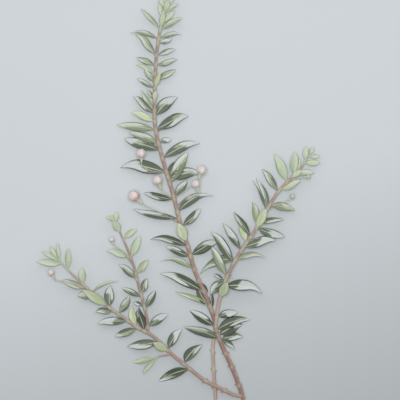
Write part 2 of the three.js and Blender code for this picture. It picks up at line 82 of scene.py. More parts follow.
# The leafy shoots. left and right hold the leaves on that side, each as how far along the shoot it
# stands, its length and, where they aren't the shoot's own, the angle between the stem and the leaf's
# tip, its width, how far its tip bends towards the shoot's tip for each unit of length, its rise and its
# roll. Upright leaves are turned up over the stem, and their angle is to the left. Past tip the leaves
# are young. pale names leaves by side and distance: 1 is pale green, 2 yellow green with painted light,
# as if sunlit from behind, and -1 dark green with painted deep shade. white is how far along a leaf its
# white tip of painted highlight starts, hooks is how far its tip turns towards the shoot's foot, and ages
# runs from the foot's dark green to the top's. A leaf whose angle is over HANGS degrees hangs down.
HANGS = 118
SHOOTS = [
    dict(
        name="main_shoot", route=MAIN_ROUTE, start=44, tip=286.5, radius=(1.6, 0.7), seed=100,
        width=0.29, splay=[(0, 56), (0.5, 63), (1, 50)],
        ages=[(0, 1.0), (0.3, 0.9), (0.5, 0.78), (0.68, 0.65), (0.75, 0.45), (1, 0.25)],
        left=[
            (49, 28, 52, 7.5, -0.3, 32), (59, 23, 52, 7.5), (74, 28, 46, 4, -0.28, 3), (75, 19, 8, 7, 0.3),
            (87, 35, 43, 7.5, -0.14), (105, 24, 56, 4.5, -0.4, 0), (115, 20, 48, 6, 0.15),
            (123, 28, 58, 6, -0.15), (145, 35, 69, 5.5), (160, 24, 65, 5.5, 0.1), (181, 34, 65, 9.5, -0.11),
            (198, 29, 57, 8.5, -0.05), (203, 24, 53, 7, -0.1), (214, 30, 72, 6.5), (220, 19, 60, 5.5),
            (226, 21, 55, 5.5), (228, 19, 38, 4), (236, 10, 35, 3), (245, 16, 64, 3.5), (249, 13, 42, 4),
            (256, 16, 66, 3, -0.1), (262, 16, 66, 4.5), (270, 22, 51, 5.5), (282, 21, 81, 4, -0.22),
            (290, 21, 55, 3.5), (298, 12, 30, 3.5), (305, 11, 44), (311, 8, 36),
        ],
        right=[
            (49, 14, 147, 4.5, -0.3), (49, 18, 105, 6.5, -0.1), (52, 20, 83, 10, -0.1),
            (56, 26, 86, 8, -0.25, 2), (71, 14, 18, 4), (96, 12, 166), (116, 24, 73, 8),
            (139, 20, 64, 6.5, 0.2), (150, 27, 75, 7, -0.4), (162, 16, 52, 6), (172, 27, 44, 9),
            (177, 24, 97, 8.5, -0.08), (178, 12, 50, 5.5), (192, 30, 82, 7.5, -0.16),
            (204, 10, 89, 4.5, -0.2), (212, 25, 61, 5.5), (214, 27, 74, 8.5, -0.05), (224, 23, 50, 9, -0.24),
            (251, 18, 58, 5, 0.05), (263, 16, 71, 4.5, 0.3), (270, 15, 66, 4), (279, 11, 69, 4),
            (283, 17, 70, 3.5, -0.15), (289, 19, 49, 5, -0.1), (294, 14, 40, 3.5), (302, 13, 37),
            (309, 10, 40),
        ],
        upright=[(126.5, 20, 4, 7.5), (235, 10, -5, 4), (245, 17, -19, 3.5), (291, 16, -1, 4), (303, 12)],
        pale=dict(
            left={74: 0.6, 75: -1, 105: 0.5, 203: 0.3, 214: 0.4, 220: 1.3, 228: 0.6, 256: 0.9, 290: 0.35},
            right={52: -1, 71: -1, 96: -1, 172: 0.3, 289: 0.45}, upright={126.5: 2.0},
        ),
        white=dict(
            left={
                49: 0.85, 59: 0.95, 87: 0.62, 123: 1.0, 145: 0.7, 160: 0.7, 181: 0.55, 198: 0.65, 203: 0.75,
                226: 0.75, 245: 0.6,
            },
            right={
                49: 1.2, 56: 0.85, 116: 0.6, 139: 0.65, 150: 0.7, 172: 0.8, 177: 0.75, 192: 0.6, 204: 0.5,
                212: 0.8, 214: 0.7, 224: 0.5,
            },
        ),
        hooks=dict(left={105: 0.26, 123: 0.14, 270: 0.2}, right={150: 0.22}),
    ),
    dict(
        name="right_shoot", route=RIGHT_ROUTE, start=0, tip=117, radius=(1.35, 0.6), seed=200,
        width=0.29, splay=[(0, 62), (1, 50)], ages=[(0, 1.0), (0.5, 0.85), (0.7, 0.65), (1, 0.3)],
        left=[
            (38, 10, 79), (39, 16, 151, 8), (42, 25, 58, 6.5), (56, 26, 139, 7.5, -0.5, -8, 5),
            (53, 29, 61, 7.5, 0.05), (64, 25, 67, 6), (71, 19, 53, 6), (76, 23, 64, 5.5), (86, 19, 37, 5),
            (99, 24, 51, 5.5, -0.3), (101, 23, 52, 4.5, -0.4), (116, 21, 71, 5.5), (126, 23, 66, 7),
            (133, 18, 47, 7), (136, 11, 35, 4), (147, 11, 34, 4.5), (152, 7, 2, 3.5),
        ],
        right=[
            (9, 16, 67, 6.5, -0.2), (34, 28, 78, 8.5, -0.26), (39, 6, 30), (55, 21, 53, 4.5, -0.45, 0),
            (66, 25, 40, 7, -0.1), (68, 15, 32, 4.5, 0, 4), (85, 22, 80, 7, 0.2), (87, 19, 48, 4.5, -0.3),
            (104, 19, 68, 6.5, -0.1), (118, 17, 23, 5.5, 0.15), (135, 14, 36, 4.5), (145, 12, 54, 4.5),
            (151, 9, 61, 3),
        ],
        upright=[(25, 20), (84, 19), (130, 12)],
        pale=dict(left={42: 0.4, 56: 0.25, 71: 1.3, 86: 0.5}, right={55: 0.45, 104: 0.4}, upright={25: 1.6}),
        white=dict(
            left={39: 1.6, 53: 0.75, 56: 1.6, 64: 0.4, 99: 0.6}, right={9: 0.44, 34: 0.38, 66: 0.5, 85: 0.45},
        ),
        hooks=dict(right={34: 0.22, 55: 0.25}),
    ),
    dict(
        name="left_shoot", route=LEFT_ROUTE, start=38, tip=142, radius=(1.3, 0.6), seed=300,
        width=0.4, splay=[(0, 66), (1, 46)], ages=[(0, 1.0), (0.2, 0.85), (0.7, 0.7), (1, 0.4)],
        left=[
            (45, 26, 63, 7.5, -0.25), (76, 24, 58, 7.5), (95, 19, 49, 6, 0.1), (104, 23, 35, 6.5),
            (117, 14, 38, 5), (136, 13, 43, 6, 0.1), (144, 20, 27, 5.5, 0.15), (170, 19, 48, 5),
            (173, 15, 20, 3.5), (174.5, 12, -6, 3.5),
        ],
        right=[
            (51, 19, 95, 8, -0.35), (67, 19, 76, 7, -0.15), (89.5, 19, 50, 7, 0, -10, -16), (97, 15, 38, 6),
            (113, 16, 92, 6), (121, 17, 51, 7.5), (138.5, 20, 112, 2.5, -0.5, 2), (148, 13, 42, 5.5),
            (164, 16, 52, 5), (173, 14, 34, 3),
        ],
        upright=[(66, 17, 12), (124, 26, 0, 7)],
        pale=dict(
            left={136: 0.3, 144: 0.5}, right={89.5: -1, 97: 1.3, 138.5: 0.5}, upright={66: 1.2, 124: 1.3},
        ),
        white=dict(left={45: 0.9, 76: 1.2, 104: 0.45}, right={51: 1.6, 67: 0.55, 121: 0.6}),
    ),
    dict(
        name="left_side_shoot", route=LEFT_SIDE_ROUTE, start=0, tip=55, radius=(1.05, 0.5), seed=400,
        width=0.42, splay=[(0, 56), (1, 46)], ages=[(0, 0.85), (0.6, 0.7), (1, 0.4)],
        left=[(20, 8.5), (27, 17, 49, 4.5), (41, 18, 35, 5.5), (58, 19, 53, 5), (88, 7, 33)],
        right=[
            (4, 18, 59, 6.5, -0.1), (18, 16, 48, 6), (29, 13, 39, 5.5), (45, 14, 52, 5.5, 0.15),
            (58, 18, 46, 6), (73, 13, 74, 4.5), (86, 9, 33, 4),
        ],
        upright=[(78, 14, 0, 5.5), (87, 8)],
        pale=dict(right={45: 0.7}), white=dict(left={41: 0.7}, right={4: 0.5, 29: 1.4}),
    ),
    dict(
        name="low_twig", route=LOW_TWIG_ROUTE, start=0, tip=99, radius=(0.75, 0.55), seed=500,
        width=0.36, splay=[(0, 30)], ages=[(0, 0.6)],
        left=[(12, 16, 22, 3.5)], right=[(13.3, 18, 22, 4)], upright=[],
        pale=dict(left={12: 0.8}, right={13.3: 0.8}), hooks=dict(left={12: 0.1}, right={13.3: 0.1}),
    ),
]

# Flower buds: the shoot and how far along it the stalk leaves, the stalk's bend and end, the way the
# bud points, its size as a share of the largest, and how red the foot of its petals is, with -1 for green.
# JOINT_GAP is the gap between a stalk and its calyx, and between the calyx and the petals.
BUDS = [
    ("main_shoot", 181, (-49, 119.5, 11.5), (-55.6, 125, 12.5), (-0.06, 0.98, 0.15), 0.9, 0.3),
    ("main_shoot", 158, (-37, 101.5, 12), (-40.9, 105, 13.5), (-0.36, 0.92, 0.1), 0.95, 0.4),
    ("main_shoot", 141, (-42.5, 88.5, 12), (-54.7, 94.4, 13), (-0.72, 0.69, 0.12), 1.12, 1.0),
    ("main_shoot", 161, (-20, 107, 12.5), (-13.2, 112.6, 13.5), (0.32, 0.94, 0.12), 0.95, 0.1),
    ("main_shoot", 154, (-21, 100, 14), (-13.2, 103, 16.2), (-0.28, 0.95, 0.1), 0.82, 0.2),
    ("left_side_shoot", 51, (-71, 60, 10.5), (-76.3, 64, 11.5), (-0.4, 0.91, 0.1), 0.5, 0.3),
    ("left_shoot", 139, (-112, 36, 9), (-121, 38.6, 9.5), (-0.45, 0.88, 0.12), 0.62, 0.5),
    ("right_shoot", 100, (49, 95, 11), (53.8, 97.4, 11.5), (0.75, 0.66, 0.1), 0.5, -1.0),
    ("right_shoot", 118.5, (61, 114, 10), (65.6, 114.6, 10.5), (0.98, 0.12, 0.1), 0.38, -1.0),
]
JOINT_GAP = 0.3

# The bare wood: by stem, its radius and where along it fallen leaves left a pair of scars.
SCARS = [
    (MAIN_ROUTE, 1.7, (11, 26, 37)),
    (LEFT_ROUTE, 1.3, (14, 30)),
    (BARE_TWIG_ROUTE, 1.1, (13, 27, 41)),
]

# The kinds of node used most, under short names. A word after a dot is the value of the setting that
# stands beside the kind here: Vector.SCALE is a vector node whose operation is SCALE. A name in capitals
# only is the operation of a math node.
KINDS = {
    "Math": ("ShaderNodeMath", "operation"),
    "Vector": ("ShaderNodeVectorMath", "operation"),
    "Range": ("ShaderNodeMapRange", "interpolation_type"),
    "Mix": ("ShaderNodeMix", "data_type"),
    "Join": ("ShaderNodeCombineXYZ", ""),
    "Split": ("ShaderNodeSeparateXYZ", ""),
    "Noise": ("ShaderNodeTexNoise", ""),
    "Attribute": ("ShaderNodeAttribute", "attribute_name"),
    "Stored": ("GeometryNodeInputNamedAttribute", "data_type"),
    "Store": ("GeometryNodeStoreNamedAttribute", "data_type"),
    "Place": ("GeometryNodeInputPosition", ""),
    "Move": ("GeometryNodeSetPosition", ""),
}


def linear(code):
    """The linear colour of an sRGB hex value such as 7f8f6e."""
    parts = [int(code[i:i + 2], 16) / 255 for i in (0, 2, 4)]
    return tuple(p / 12.92 if p <= 0.04045 else ((p + 0.055) / 1.055) ** 2.4 for p in parts)


def mix(a, b, share):
    return a + (b - a) * share


def between(stops, share):
    """A value that runs straight between (share along, value) stops."""
    for (s0, v0), (s1, v1) in zip(stops, stops[1:]):
        if share < s1:
            return mix(v0, v1, max(0.0, share - s0) / (s1 - s0))
    return stops[-1][1]


def scatter(draw):
    """A repeatable random number from 0 to 1 for a numbered draw."""
    wave = math.sin(draw * 12.9898 + SEED) * 43758.5453
    return wave - math.floor(wave)


class Line:
    """A smooth centripetal Catmull-Rom line through a stem's points, measured along its length."""

    DIVISIONS = 200

    def __init__(self, points):
        self.points = [Vector(p) for p in points]
        at = [self.point(i / self.DIVISIONS) for i in range(self.DIVISIONS + 1)]
        self.reach = [0.0]
        for a, b in zip(at, at[1:]):
            self.reach.append(self.reach[-1] + (b - a).length)
        self.length = self.reach[-1]

    def point(self, t):
        own, last = self.points, len(self.points) - 1
        i = min(int(last * t), last - 1)
        p1, p2 = own[i], own[i + 1]
        p0 = own[i - 1] if i > 0 else p1 * 2 - p2
        p3 = own[i + 2] if i + 2 <= last else p2 * 2 - p1
        d0, d1, d2 = (math.sqrt((b - a).length) for a, b in ((p0, p1), (p1, p2), (p2, p3)))
        out = ((p1 - p0) / d0 - (p2 - p0) / (d0 + d1) + (p2 - p1) / d1) * d1
        into = ((p2 - p1) / d1 - (p3 - p1) / (d1 + d2) + (p3 - p2) / d2) * d1
        w = last * t - i
        return (p1 + out * w + (p1 * -3 + p2 * 3 - out * 2 - into) * w ** 2
                + (p1 * 2 - p2 * 2 + out + into) * w ** 3)

    def along(self, distance):
        """The point, tangent, left and upward side of the line at a distance from its foot."""
        wanted = min(max(distance, 0.0), self.length)
        i = next((k for k, r in enumerate(self.reach) if r >= wanted), self.DIVISIONS)
        i = max(i, 1)
        t = (i - 1 + (wanted - self.reach[i - 1]) / (self.reach[i] - self.reach[i - 1])) / self.DIVISIONS
        tangent = (self.point(min(t + 1e-4, 1)) - self.point(max(t - 1e-4, 0))).normalized()
        left = UP.cross(tangent).normalized()
        return self.point(t), tangent, left, tangent.cross(left)


def held_leaves(shoot):
    """Every leaf of a shoot: where its root is, how it is turned and bent, and its age and paleness."""
    line = Line(shoot["route"])
    sided = [("left", leaf, 1) for leaf in shoot["left"]] + [("right", leaf, -1) for leaf in shoot["right"]]
    sided += [("upright", leaf, 1 if i % 2 else -1) for i, leaf in enumerate(shoot["upright"])]
    leaves = []
    for kind, given, side in sided:
        distance, length, angle, width, bend, rise, roll = (*given, *[None] * 5)[:7]
        share = (distance - shoot["start"]) / (line.length - shoot["start"])

        def draw(number, low=0, high=1):
            return mix(low, high, scatter(shoot["seed"] + distance * 0.71 + side * 0.29 + number * 0.037))

        def stated(choice, otherwise):
            return shoot.get(choice, {}).get(kind, {}).get(distance, otherwise)

        young = distance > shoot["tip"]
        broad = width if width is not None else length * shoot["width"] * draw(1, 0.92, 1.1)
        splay = angle if angle is not None else between(shoot["splay"], share) + draw(2, -5, 5)
        if rise is None:
            rise = draw(3, 0, 14) if young else draw(3, -6, 7)
        roll = side * (roll if roll is not None else draw(4, -14, 24))
        arch = 0.04 if young else draw(5, 0.04, 0.2)
        sickle = side * draw(6, -0.15, 0.1)
        hook = side * stated("hooks", draw(13, -0.04, 0.16) * (0.6 if young else 1))
        if bend is not None:
            splay, sickle = splay + math.degrees(math.atan(bend)), -side * bend
        if kind == "upright":
            splay = draw(2, 4, 10) if angle is None else side * angle
            rise, roll, arch, sickle, hook = draw(3, 34, 42), 0, -0.02, 0, 0
            broad = width if width is not None else max(broad, length * 0.36)
        elif splay > HANGS:
            rise, roll, arch = -draw(3, 6, 12), side * 18, 0

        point, tangent, left, top = line.along(distance)
        flat = tangent * math.cos(math.radians(splay)) + left * side * math.sin(math.radians(splay))
        ahead = flat * math.cos(math.radians(rise)) + top * math.sin(math.radians(rise))
        across = UP.cross(ahead).normalized()
        turn = Quaternion(ahead, math.radians(roll))
        inset = mix(*shoot["radius"], share) * 0.4
        pale = stated("pale", 1.6 if kind == "upright" else 1.0 if young else 0.0)
        # A pale below nought paints the leaf in deep shade: dark all over, with no painted sheen or white
        # tip.
        shaded = pale < 0
        leaves.append(dict(
            root=(point + ahead * inset) * MM, ahead=ahead, across=turn @ across,
            face=turn @ ahead.cross(across), length=(length - inset) * MM, width=broad * MM, arch=arch,
            sickle=sickle, hook=hook, pale=max(pale, 0.0), draw=draw(8), young=young, side=side,
            age=1.6 if shaded else between(shoot["ages"], share) * draw(7, 0.85, 1.1),
            white=2.0 if shaded else stated("white", draw(11, 0.68, 1.6)),
            patch=draw(9, 0.5, 1) * (1 if draw(12) > 0.45 else -1), shine=0.0 if shaded else draw(10),
            stem=(point, left, top, tangent),
        ))
    return leaves


def add(tree, kind, *inputs, **settings):
    """Adds one node with its settings, and sets or links its inputs, in order or by name in a dict.
    An input is a value, a socket, a node, a list of those, or a tuple that describes one more node."""
    kind, _, variant = ("Math." + kind if kind.isupper() else kind).partition(".")
    kind, setting = KINDS.get(kind, (kind, ""))
    node = tree.nodes.new(kind)
    if variant:
        setattr(node, setting, variant)
    for name, value in settings.items():
        setattr(node, name, value)
    if inputs and isinstance(inputs[0], dict):
        pairs = [(node.inputs[name], value) for name, value in inputs[0].items()]
    else:
        pairs = list(zip([s for s in node.inputs if s.enabled], inputs))
    for socket, value in pairs:
        for each in value if isinstance(value, list) else [value]:
            if isinstance(each, tuple) and isinstance(each[0], str):
                each = add(tree, *each)
            if isinstance(each, bpy.types.Node):
                each = next(s for s in each.outputs if s.enabled)
            if isinstance(each, bpy.types.NodeSocket):
                tree.links.new(each, socket)
            else:
                socket.default_value = each
    return node


def new_tree(name, sizes):
    """A geometry tree with the input mesh, its named sizes and a finish. Returns the tree, the function
    that adds its nodes, and its inputs."""
    tree = bpy.data.node_groups.new(name, "GeometryNodeTree")
    tree.interface.new_socket("Geometry", in_out="INPUT", socket_type="NodeSocketGeometry")
    for title, value in sizes.items():
        kind = "NodeSocketInt" if isinstance(value, int) else "NodeSocketFloat"
        socket = tree.interface.new_socket(title, in_out="INPUT", socket_type=kind)
        socket.default_value = value
    tree.interface.new_socket("Finish", in_out="INPUT", socket_type="NodeSocketMaterial")
    tree.interface.new_socket("Geometry", in_out="OUTPUT", socket_type="NodeSocketGeometry")
    return tree, partial(add, tree), add(tree, "NodeGroupInput").outputs


def close_tree(tree, given, shape):
    """Ends a tree: instances made real, shared corners merged, smooth faces and the finish."""
    real = add(tree, "GeometryNodeRealizeInstances", shape)
    merged = add(tree, "GeometryNodeMergeByDistance", {"Geometry": real, "Distance": MERGED})
    smooth = add(tree, "GeometryNodeSetShadeSmooth", merged)
    coated = add(tree, "GeometryNodeSetMaterial", {"Geometry": smooth, "Material": given["Finish"]})
    add(tree, "NodeGroupOutput", coated)
    return tree


def points_mesh(name, rows, edges):
    """A mesh with one vertex for each row, which carries the row's numbers and vectors as attributes."""
    mesh = bpy.data.meshes.new(name)
    mesh.from_pydata([row["root"] for row in rows], edges, [])
    for key, value in rows[0].items():
        if isinstance(value, Vector):
            attribute = mesh.attributes.new(key, "FLOAT_VECTOR", "POINT")
            attribute.data.foreach_set("vector", [x for row in rows for x in row[key]])
        else:
            attribute = mesh.attributes.new(key, "FLOAT", "POINT")
            attribute.data.foreach_set("value", [row[key] for row in rows])
    return mesh


def grow(name, rows, edges, tree, finish, slot, nodes, **sizes):
    """Runs a tree on a mesh of rows once, leaves the result as a plain mesh at the origin, puts it under
    the root body and hides the solids it stands for. The slot is not used."""
    source = points_mesh(name, rows, edges)
    piece = bpy.data.objects.new(name, source)
    bpy.context.scene.collection.objects.link(piece)
    modifier = piece.modifiers.new("Growth", "NODES")
    modifier.node_group = tree
    for socket in tree.interface.items_tree:
        if socket.in_out == "INPUT" and socket.name == "Finish":
            modifier[socket.identifier] = finish
        elif socket.in_out == "INPUT" and socket.name in sizes:
            modifier[socket.identifier] = sizes[socket.name]
    graph = bpy.context.evaluated_depsgraph_get()
    grown = bpy.data.meshes.new_from_object(piece.evaluated_get(graph))
    piece.modifiers.remove(modifier)
    piece.data = grown
    grown.name = name
    bpy.data.meshes.remove(source)
    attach(piece, "root")
    if nodes:
        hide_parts(*nodes)


def point_values(node, vectors, numbers):
    """The vectors and numbers that a source point carries, by name."""
    values = {key: node("Stored.FLOAT_VECTOR", key) for key in vectors}
    values.update({key: node("Stored.FLOAT", key) for key in numbers})
    return values


def sheets(node, given, across):
    """A flat sheet on each point of the source, with a front and a turned back skin. Each corner keeps
    its place as blade: 0 to 1 along the sheet, across it as given, and 1 or -1 for its skin."""
    grid = node("GeometryNodeMeshGrid", 1.0, 1.0, given["Rows"], given["Strips"])
    x, y, _ = node("Split", ("Place",)).outputs
    share = node("ADD", x, 0.5)
    beside = node("MULTIPLY_ADD", y, across[1] - across[0], (across[0] + across[1]) / 2)
    skins = []
    for side in (1.0, -1.0):
        place = node("Join", share, beside, side)
        values = {"Geometry": grid.outputs["Mesh"], "Name": "blade", "Value": place}
        skin = node("Store.FLOAT_VECTOR", values, domain="POINT")
        skins.append(skin if side > 0 else node("GeometryNodeFlipFaces", skin))
    both = node("GeometryNodeJoinGeometry", skins)
    dealt = node("GeometryNodeInstanceOnPoints", {"Points": given["Geometry"], "Instance": both})
    return node("GeometryNodeRealizeInstances", dealt)


def tapered(node, share, foot, tip):
    """1 along most of a sheet, and less over the first 1 / foot and the last 1 / tip of it, down to 0."""
    at_foot = node("MULTIPLY", share, foot, use_clamp=True)
    at_tip = node("MULTIPLY", ("SUBTRACT", 1.0, share), tip, use_clamp=True)
    return node("MULTIPLY", at_foot, at_tip)


def half_thickness(node, sheet, thickness, roundness, foot, tip):
    """Half the thickness of a sheet, upwards for the front skin and downwards for the back one, so that
    they meet at the sides and ends."""
    share, beside, side = sheet
    outer = node("POWER", ("ABSOLUTE", beside), roundness)
    closing = node("SUBTRACT", 1.0, outer, use_clamp=True)
    skin = node("MULTIPLY", ("MULTIPLY", closing, tapered(node, share, foot, tip)), side)
    return node("MULTIPLY", ("MULTIPLY", thickness, skin), 0.5)


def placed(node, start, *steps):
    """The place reached from a start by steps, each a direction and how far to go that way."""
    for direction, distance in steps:
        start = node("Vector.MULTIPLY_ADD", direction, distance, start)
    return start


def round_axis(node, own, rise, radial, angle):
    """The place at a height, a distance and an angle round a flower bud's axis."""
    outward = node("MULTIPLY", radial, ("COSINE", angle))
    sideways = node("MULTIPLY", radial, ("SINE", angle))
    return placed(node, own["root"], (own["axis"], rise), (own["out"], outward), (own["beside"], sideways))


def leaf_tree():
    """Myrtle leaves: each point of the source becomes a pointed blade on a short stalk, folded along
    its midrib, arched and bent sideways as the point says, thickest at its middle and closed at its edge."""
    tree, node, given = new_tree("Myrtle leaves", {
        "Blade Thickness": 0.36 * MM, "Stalk Thickness": 0.9 * MM, "Stalk Length": 1.6 * MM,
        "Stalk Half Width": 0.55 * MM, "Fold": 0.16, "Edge Wave": 0.05, "Lowest": 0.12 * MM, "Rows": 19,
        "Strips": 11,
    })
    leaves = sheets(node, given, (-1, 1))
    own = point_values(node, ("root", "ahead", "across", "face", "blade"),
                       ("length", "width", "arch", "sickle", "hook", "draw"))
    share, beside, side = sheet = node("Split", own["blade"]).outputs
    reach = node("MULTIPLY", own["length"], share)
    # Half the width: a sine whose widest place lies below the middle, drawn in to the stalk.
    past = node("SUBTRACT", reach, given["Stalk Length"])
    whole = node("SUBTRACT", own["length"], given["Stalk Length"])
    blade_share = node("DIVIDE", past, whole, use_clamp=True)
    wave = node("MULTIPLY", ("POWER", blade_share, 0.88), math.pi)
    outline = node("POWER", node("SINE", wave, use_clamp=True), 0.76)
    blade_half = node("MULTIPLY", ("MULTIPLY", outline, 0.5), own["width"])
    stalk_half = node("MULTIPLY", ("SUBTRACT", 1.0, share), given["Stalk Half Width"])
    half = node("MAXIMUM", blade_half, stalk_half)
    # The midrib's line: straight ahead, drooping by the arch and bent sideways by the sickle.
    bend = node("MULTIPLY", reach, share)
    droop = node("MULTIPLY", ("MULTIPLY", bend, own["arch"]), -1.0)
    sideways = node("MULTIPLY_ADD", bend, own["sickle"], ("MULTIPLY", beside, half))
    # The pointed tip turns aside over the blade's last third, and the rest bows a little the other way.
    near_tip = node("POWER", ("Range", share, 0.64, 1.0, 0.0, 1.0), 1.8)
    turned = node("MULTIPLY", ("MULTIPLY_ADD", share, -0.6, near_tip), own["hook"])
    sideways = node("MULTIPLY_ADD", reach, turned, sideways)
    # Height above the midrib: the fold, the wave of the edge, and half the thickness of its own skin.
    far = node("ABSOLUTE", beside)
    folded = node("MULTIPLY", ("POWER", far, 1.2), given["Fold"])
    turn = node("ADD", ("MULTIPLY", own["draw"], 37.0), beside)
    rolling = node("SINE", ("MULTIPLY_ADD", share, 11.0, turn))
    edge_only = node("MULTIPLY", ("POWER", far, 2.0), given["Edge Wave"])
    waved = node("MULTIPLY_ADD", rolling, edge_only, folded)
    taper = 3.5 * MM
    thick = node("Range.SMOOTHSTEP", reach, 0.0, taper, given["Stalk Thickness"], given["Blade Thickness"])
    skin = half_thickness(node, sheet, thick, 4.0, 15.0, 9.0)
    height = node("ADD", ("ADD", ("MULTIPLY", waved, half), skin), droop)
    place = placed(node, own["root"], (own["ahead"], reach), (own["across"], sideways), (own["face"], height))
    # A blade that would dip into the surface lies on it instead.
    x, y, z = node("Split", place).outputs
    lifted = node("MAXIMUM", z, ("ADD", skin, given["Lowest"]))
    shaped = node("Move", {"Geometry": leaves, "Position": ("Join", x, y, lifted)})
    chart = node("Join", share, ("MULTIPLY_ADD", beside, 0.5, 0.5), 0.0)
    mapped = node("Store.FLOAT2", {"Geometry": shaped, "Name": "UVMap", "Value": chart}, domain="CORNER")
    return close_tree(tree, given, mapped)


def stem_tree():
    """Myrtle stems: a round tube along each line of the source, as thick at each point as it says,
    closed at both ends, with shallow furrows in its skin."""
    tree, node, given = new_tree("Myrtle stems", {
        "Sides": 14, "Furrow Depth": 0.07 * MM, "Furrow Spacing": 1.1 * MM,
    })
    own = point_values(node, ("ring",), ("radius", "along"))
    line = node("GeometryNodeMeshToCurve", given["Geometry"])
    circle = node("GeometryNodeCurvePrimitiveCircle", given["Sides"], 1.0, mode="RADIUS")
    values = {"Geometry": circle, "Name": "ring", "Value": ("Place",)}
    ring = node("Store.FLOAT_VECTOR", values, domain="POINT")
    tube = node("GeometryNodeCurveToMesh", line, ring, own["radius"], True)
    # The furrows follow the stem: round it in steps of their spacing, and far longer along it.
    stem_radius = 1.6 * MM
    spread = node("Vector.SCALE", own["ring"], ("DIVIDE", stem_radius, given["Furrow Spacing"]))
    lengthwise = node("Join", 0.0, 0.0, ("MULTIPLY", own["along"], 0.12))
    furrows = node("Noise", {"Vector": ("Vector.ADD", spread, lengthwise), "Scale": 2.0, "Detail": 2.0})
    depth = node("MULTIPLY", ("SUBTRACT", furrows, 0.5), given["Furrow Depth"])
    out = node("Vector.SCALE", ("GeometryNodeInputNormal",), depth)
    furrowed = node("Move", {"Geometry": tube, "Offset": out})
    # Where a stem would dip into the surface, it is pressed flat on it.
    x, y, z = node("Split", ("Place",)).outputs
    flat = node("Join", x, y, ("MAXIMUM", z, 0.0))
    return close_tree(tree, given, node("Move", {"Geometry": furrowed, "Position": flat}))


def petal_tree():
    """Closed flower buds: each point of the source becomes one petal of a globe of five, which lies
    over one neighbour with one edge and under the other with the other, round a closed heart."""
    tree, node, given = new_tree("Myrtle petals", {
        "Petal Thickness": 0.28 * MM, "Half Angle": 0.86, "Overlap": 0.05, "Rows": 12, "Strips": 9,
    })
    whorl = sheets(node, given, (-1, 1))
    own = point_values(node, ("root", "axis", "out", "beside", "blade"), ("globe", "start", "draw"))
    share, across, _ = sheet = node("Split", own["blade"]).outputs
    almost_closed = 3.06
    polar = node("Range", share, 0.0, 1.0, own["start"], almost_closed)
    # A petal narrows to its foot, and its rounded top closes over the heart.
    narrow = node("Range.SMOOTHSTEP", share, 0.0, 0.45, 0.62, 1.0)
    angle = node("MULTIPLY", ("MULTIPLY", across, given["Half Angle"]), narrow)
    skin = half_thickness(node, sheet, given["Petal Thickness"], 5.0, 10.0, 12.0)
    lapped = node("MULTIPLY_ADD", across, given["Overlap"], 1.0)
    shift = node("MULTIPLY", own["draw"], 20.0)
    ruffle = node("SINE", ("ADD", ("MULTIPLY", across, 7.0), shift))
    cup = node("MULTIPLY", ("MULTIPLY_ADD", ruffle, 0.012, lapped), own["globe"])
    ball = node("ADD", cup, skin)
    radial = node("MULTIPLY", ("SINE", polar), ball)
    base = node("MULTIPLY", ("COSINE", own["start"]), own["globe"])
    rise = node("SUBTRACT", base, ("MULTIPLY", ("COSINE", polar), ball))
    place = round_axis(node, own, rise, radial, angle)
    return close_tree(tree, given, node("Move", {"Geometry": whorl, "Position": place}))


def calyx_tree():
    """Calyx cups: each point of the source becomes a top-shaped cup on its stalk, whose rim runs out
    into five short pointed sepals that hold the petals."""
    tree, node, given = new_tree("Myrtle calyxes", {
        "Sepal Length": 0.85, "Wall": 0.3 * MM, "Rows": 12, "Strips": 51,
    })
    cups = sheets(node, given, (0, 2 * math.pi))
    own = point_values(node, ("root", "axis", "out", "beside", "blade"), ("globe", "seat", "cup", "foot"))
    share, azimuth, side = node("Split", own["blade"]).outputs
    # Up to the brim is the cup, whose wall swells out of the stalk; the rest is the sepals.
    brim = 0.6
    up_cup = node("Range", share, 0.0, brim, 0.0, 1.0)
    cup_radius = node("Range", ("POWER", up_cup, 1.5), 0.0, 1.0, own["foot"], own["seat"])
    up_sepal = node("Range", share, brim, 1.0, 0.0, 1.0)
    fifth = node("FRACT", ("MULTIPLY", azimuth, 2.5 / math.pi))
    tooth = node("ABSOLUTE", ("MULTIPLY_ADD", fifth, 2.0, -1.0))
    peak = node("MULTIPLY_ADD", ("POWER", tooth, 1.3), 0.94, 0.06)
    sepal = node("MULTIPLY", ("MULTIPLY", peak, given["Sepal Length"]), own["globe"])
    out_by = node("MULTIPLY", sepal, up_sepal)
    wall = node("MULTIPLY", tapered(node, share, 8.0, 5.0), given["Wall"])
    inward = node("MULTIPLY", ("MULTIPLY_ADD", side, -0.5, 0.5), wall)
    radial = node("SUBTRACT", ("MULTIPLY_ADD", out_by, 0.62, cup_radius), inward)
    rise = node("ADD", ("MULTIPLY", up_cup, own["cup"]), ("MULTIPLY", out_by, 0.6))
    place = round_axis(node, own, rise, radial, azimuth)
    return close_tree(tree, given, node("Move", {"Geometry": cups, "Position": place}))


def knob_tree(name, cone):
    """Small knobs on the stems: a blunt cone for a leaf scar, or a pointed ball for an axil bud."""
    tree, node, given = new_tree(name, {"Knob Width": 1.2 * MM, "Knob Length": 1.6 * MM})
    if cone:
        sizes = {"Vertices": 9, "Side Segments": 2, "Radius Top": 0.3, "Radius Bottom": 0.5, "Depth": 1.0}
        form = node("GeometryNodeMeshCone", sizes, fill_type="NGON")
    else:
        form = node("GeometryNodeMeshUVSphere", 9, 7, 0.5)
    own = point_values(node, ("axis",), ("size",))
    size = node("Join", given["Knob Width"], given["Knob Width"], given["Knob Length"])
    knobs = node("GeometryNodeInstanceOnPoints", {
        "Points": given["Geometry"], "Instance": form.outputs["Mesh"],
        "Rotation": node("FunctionNodeAlignRotationToVector", {"Vector": own["axis"]}, axis="Z"),
        "Scale": ("Vector.SCALE", size, own["size"]),
    })
    return close_tree(tree, given, knobs)


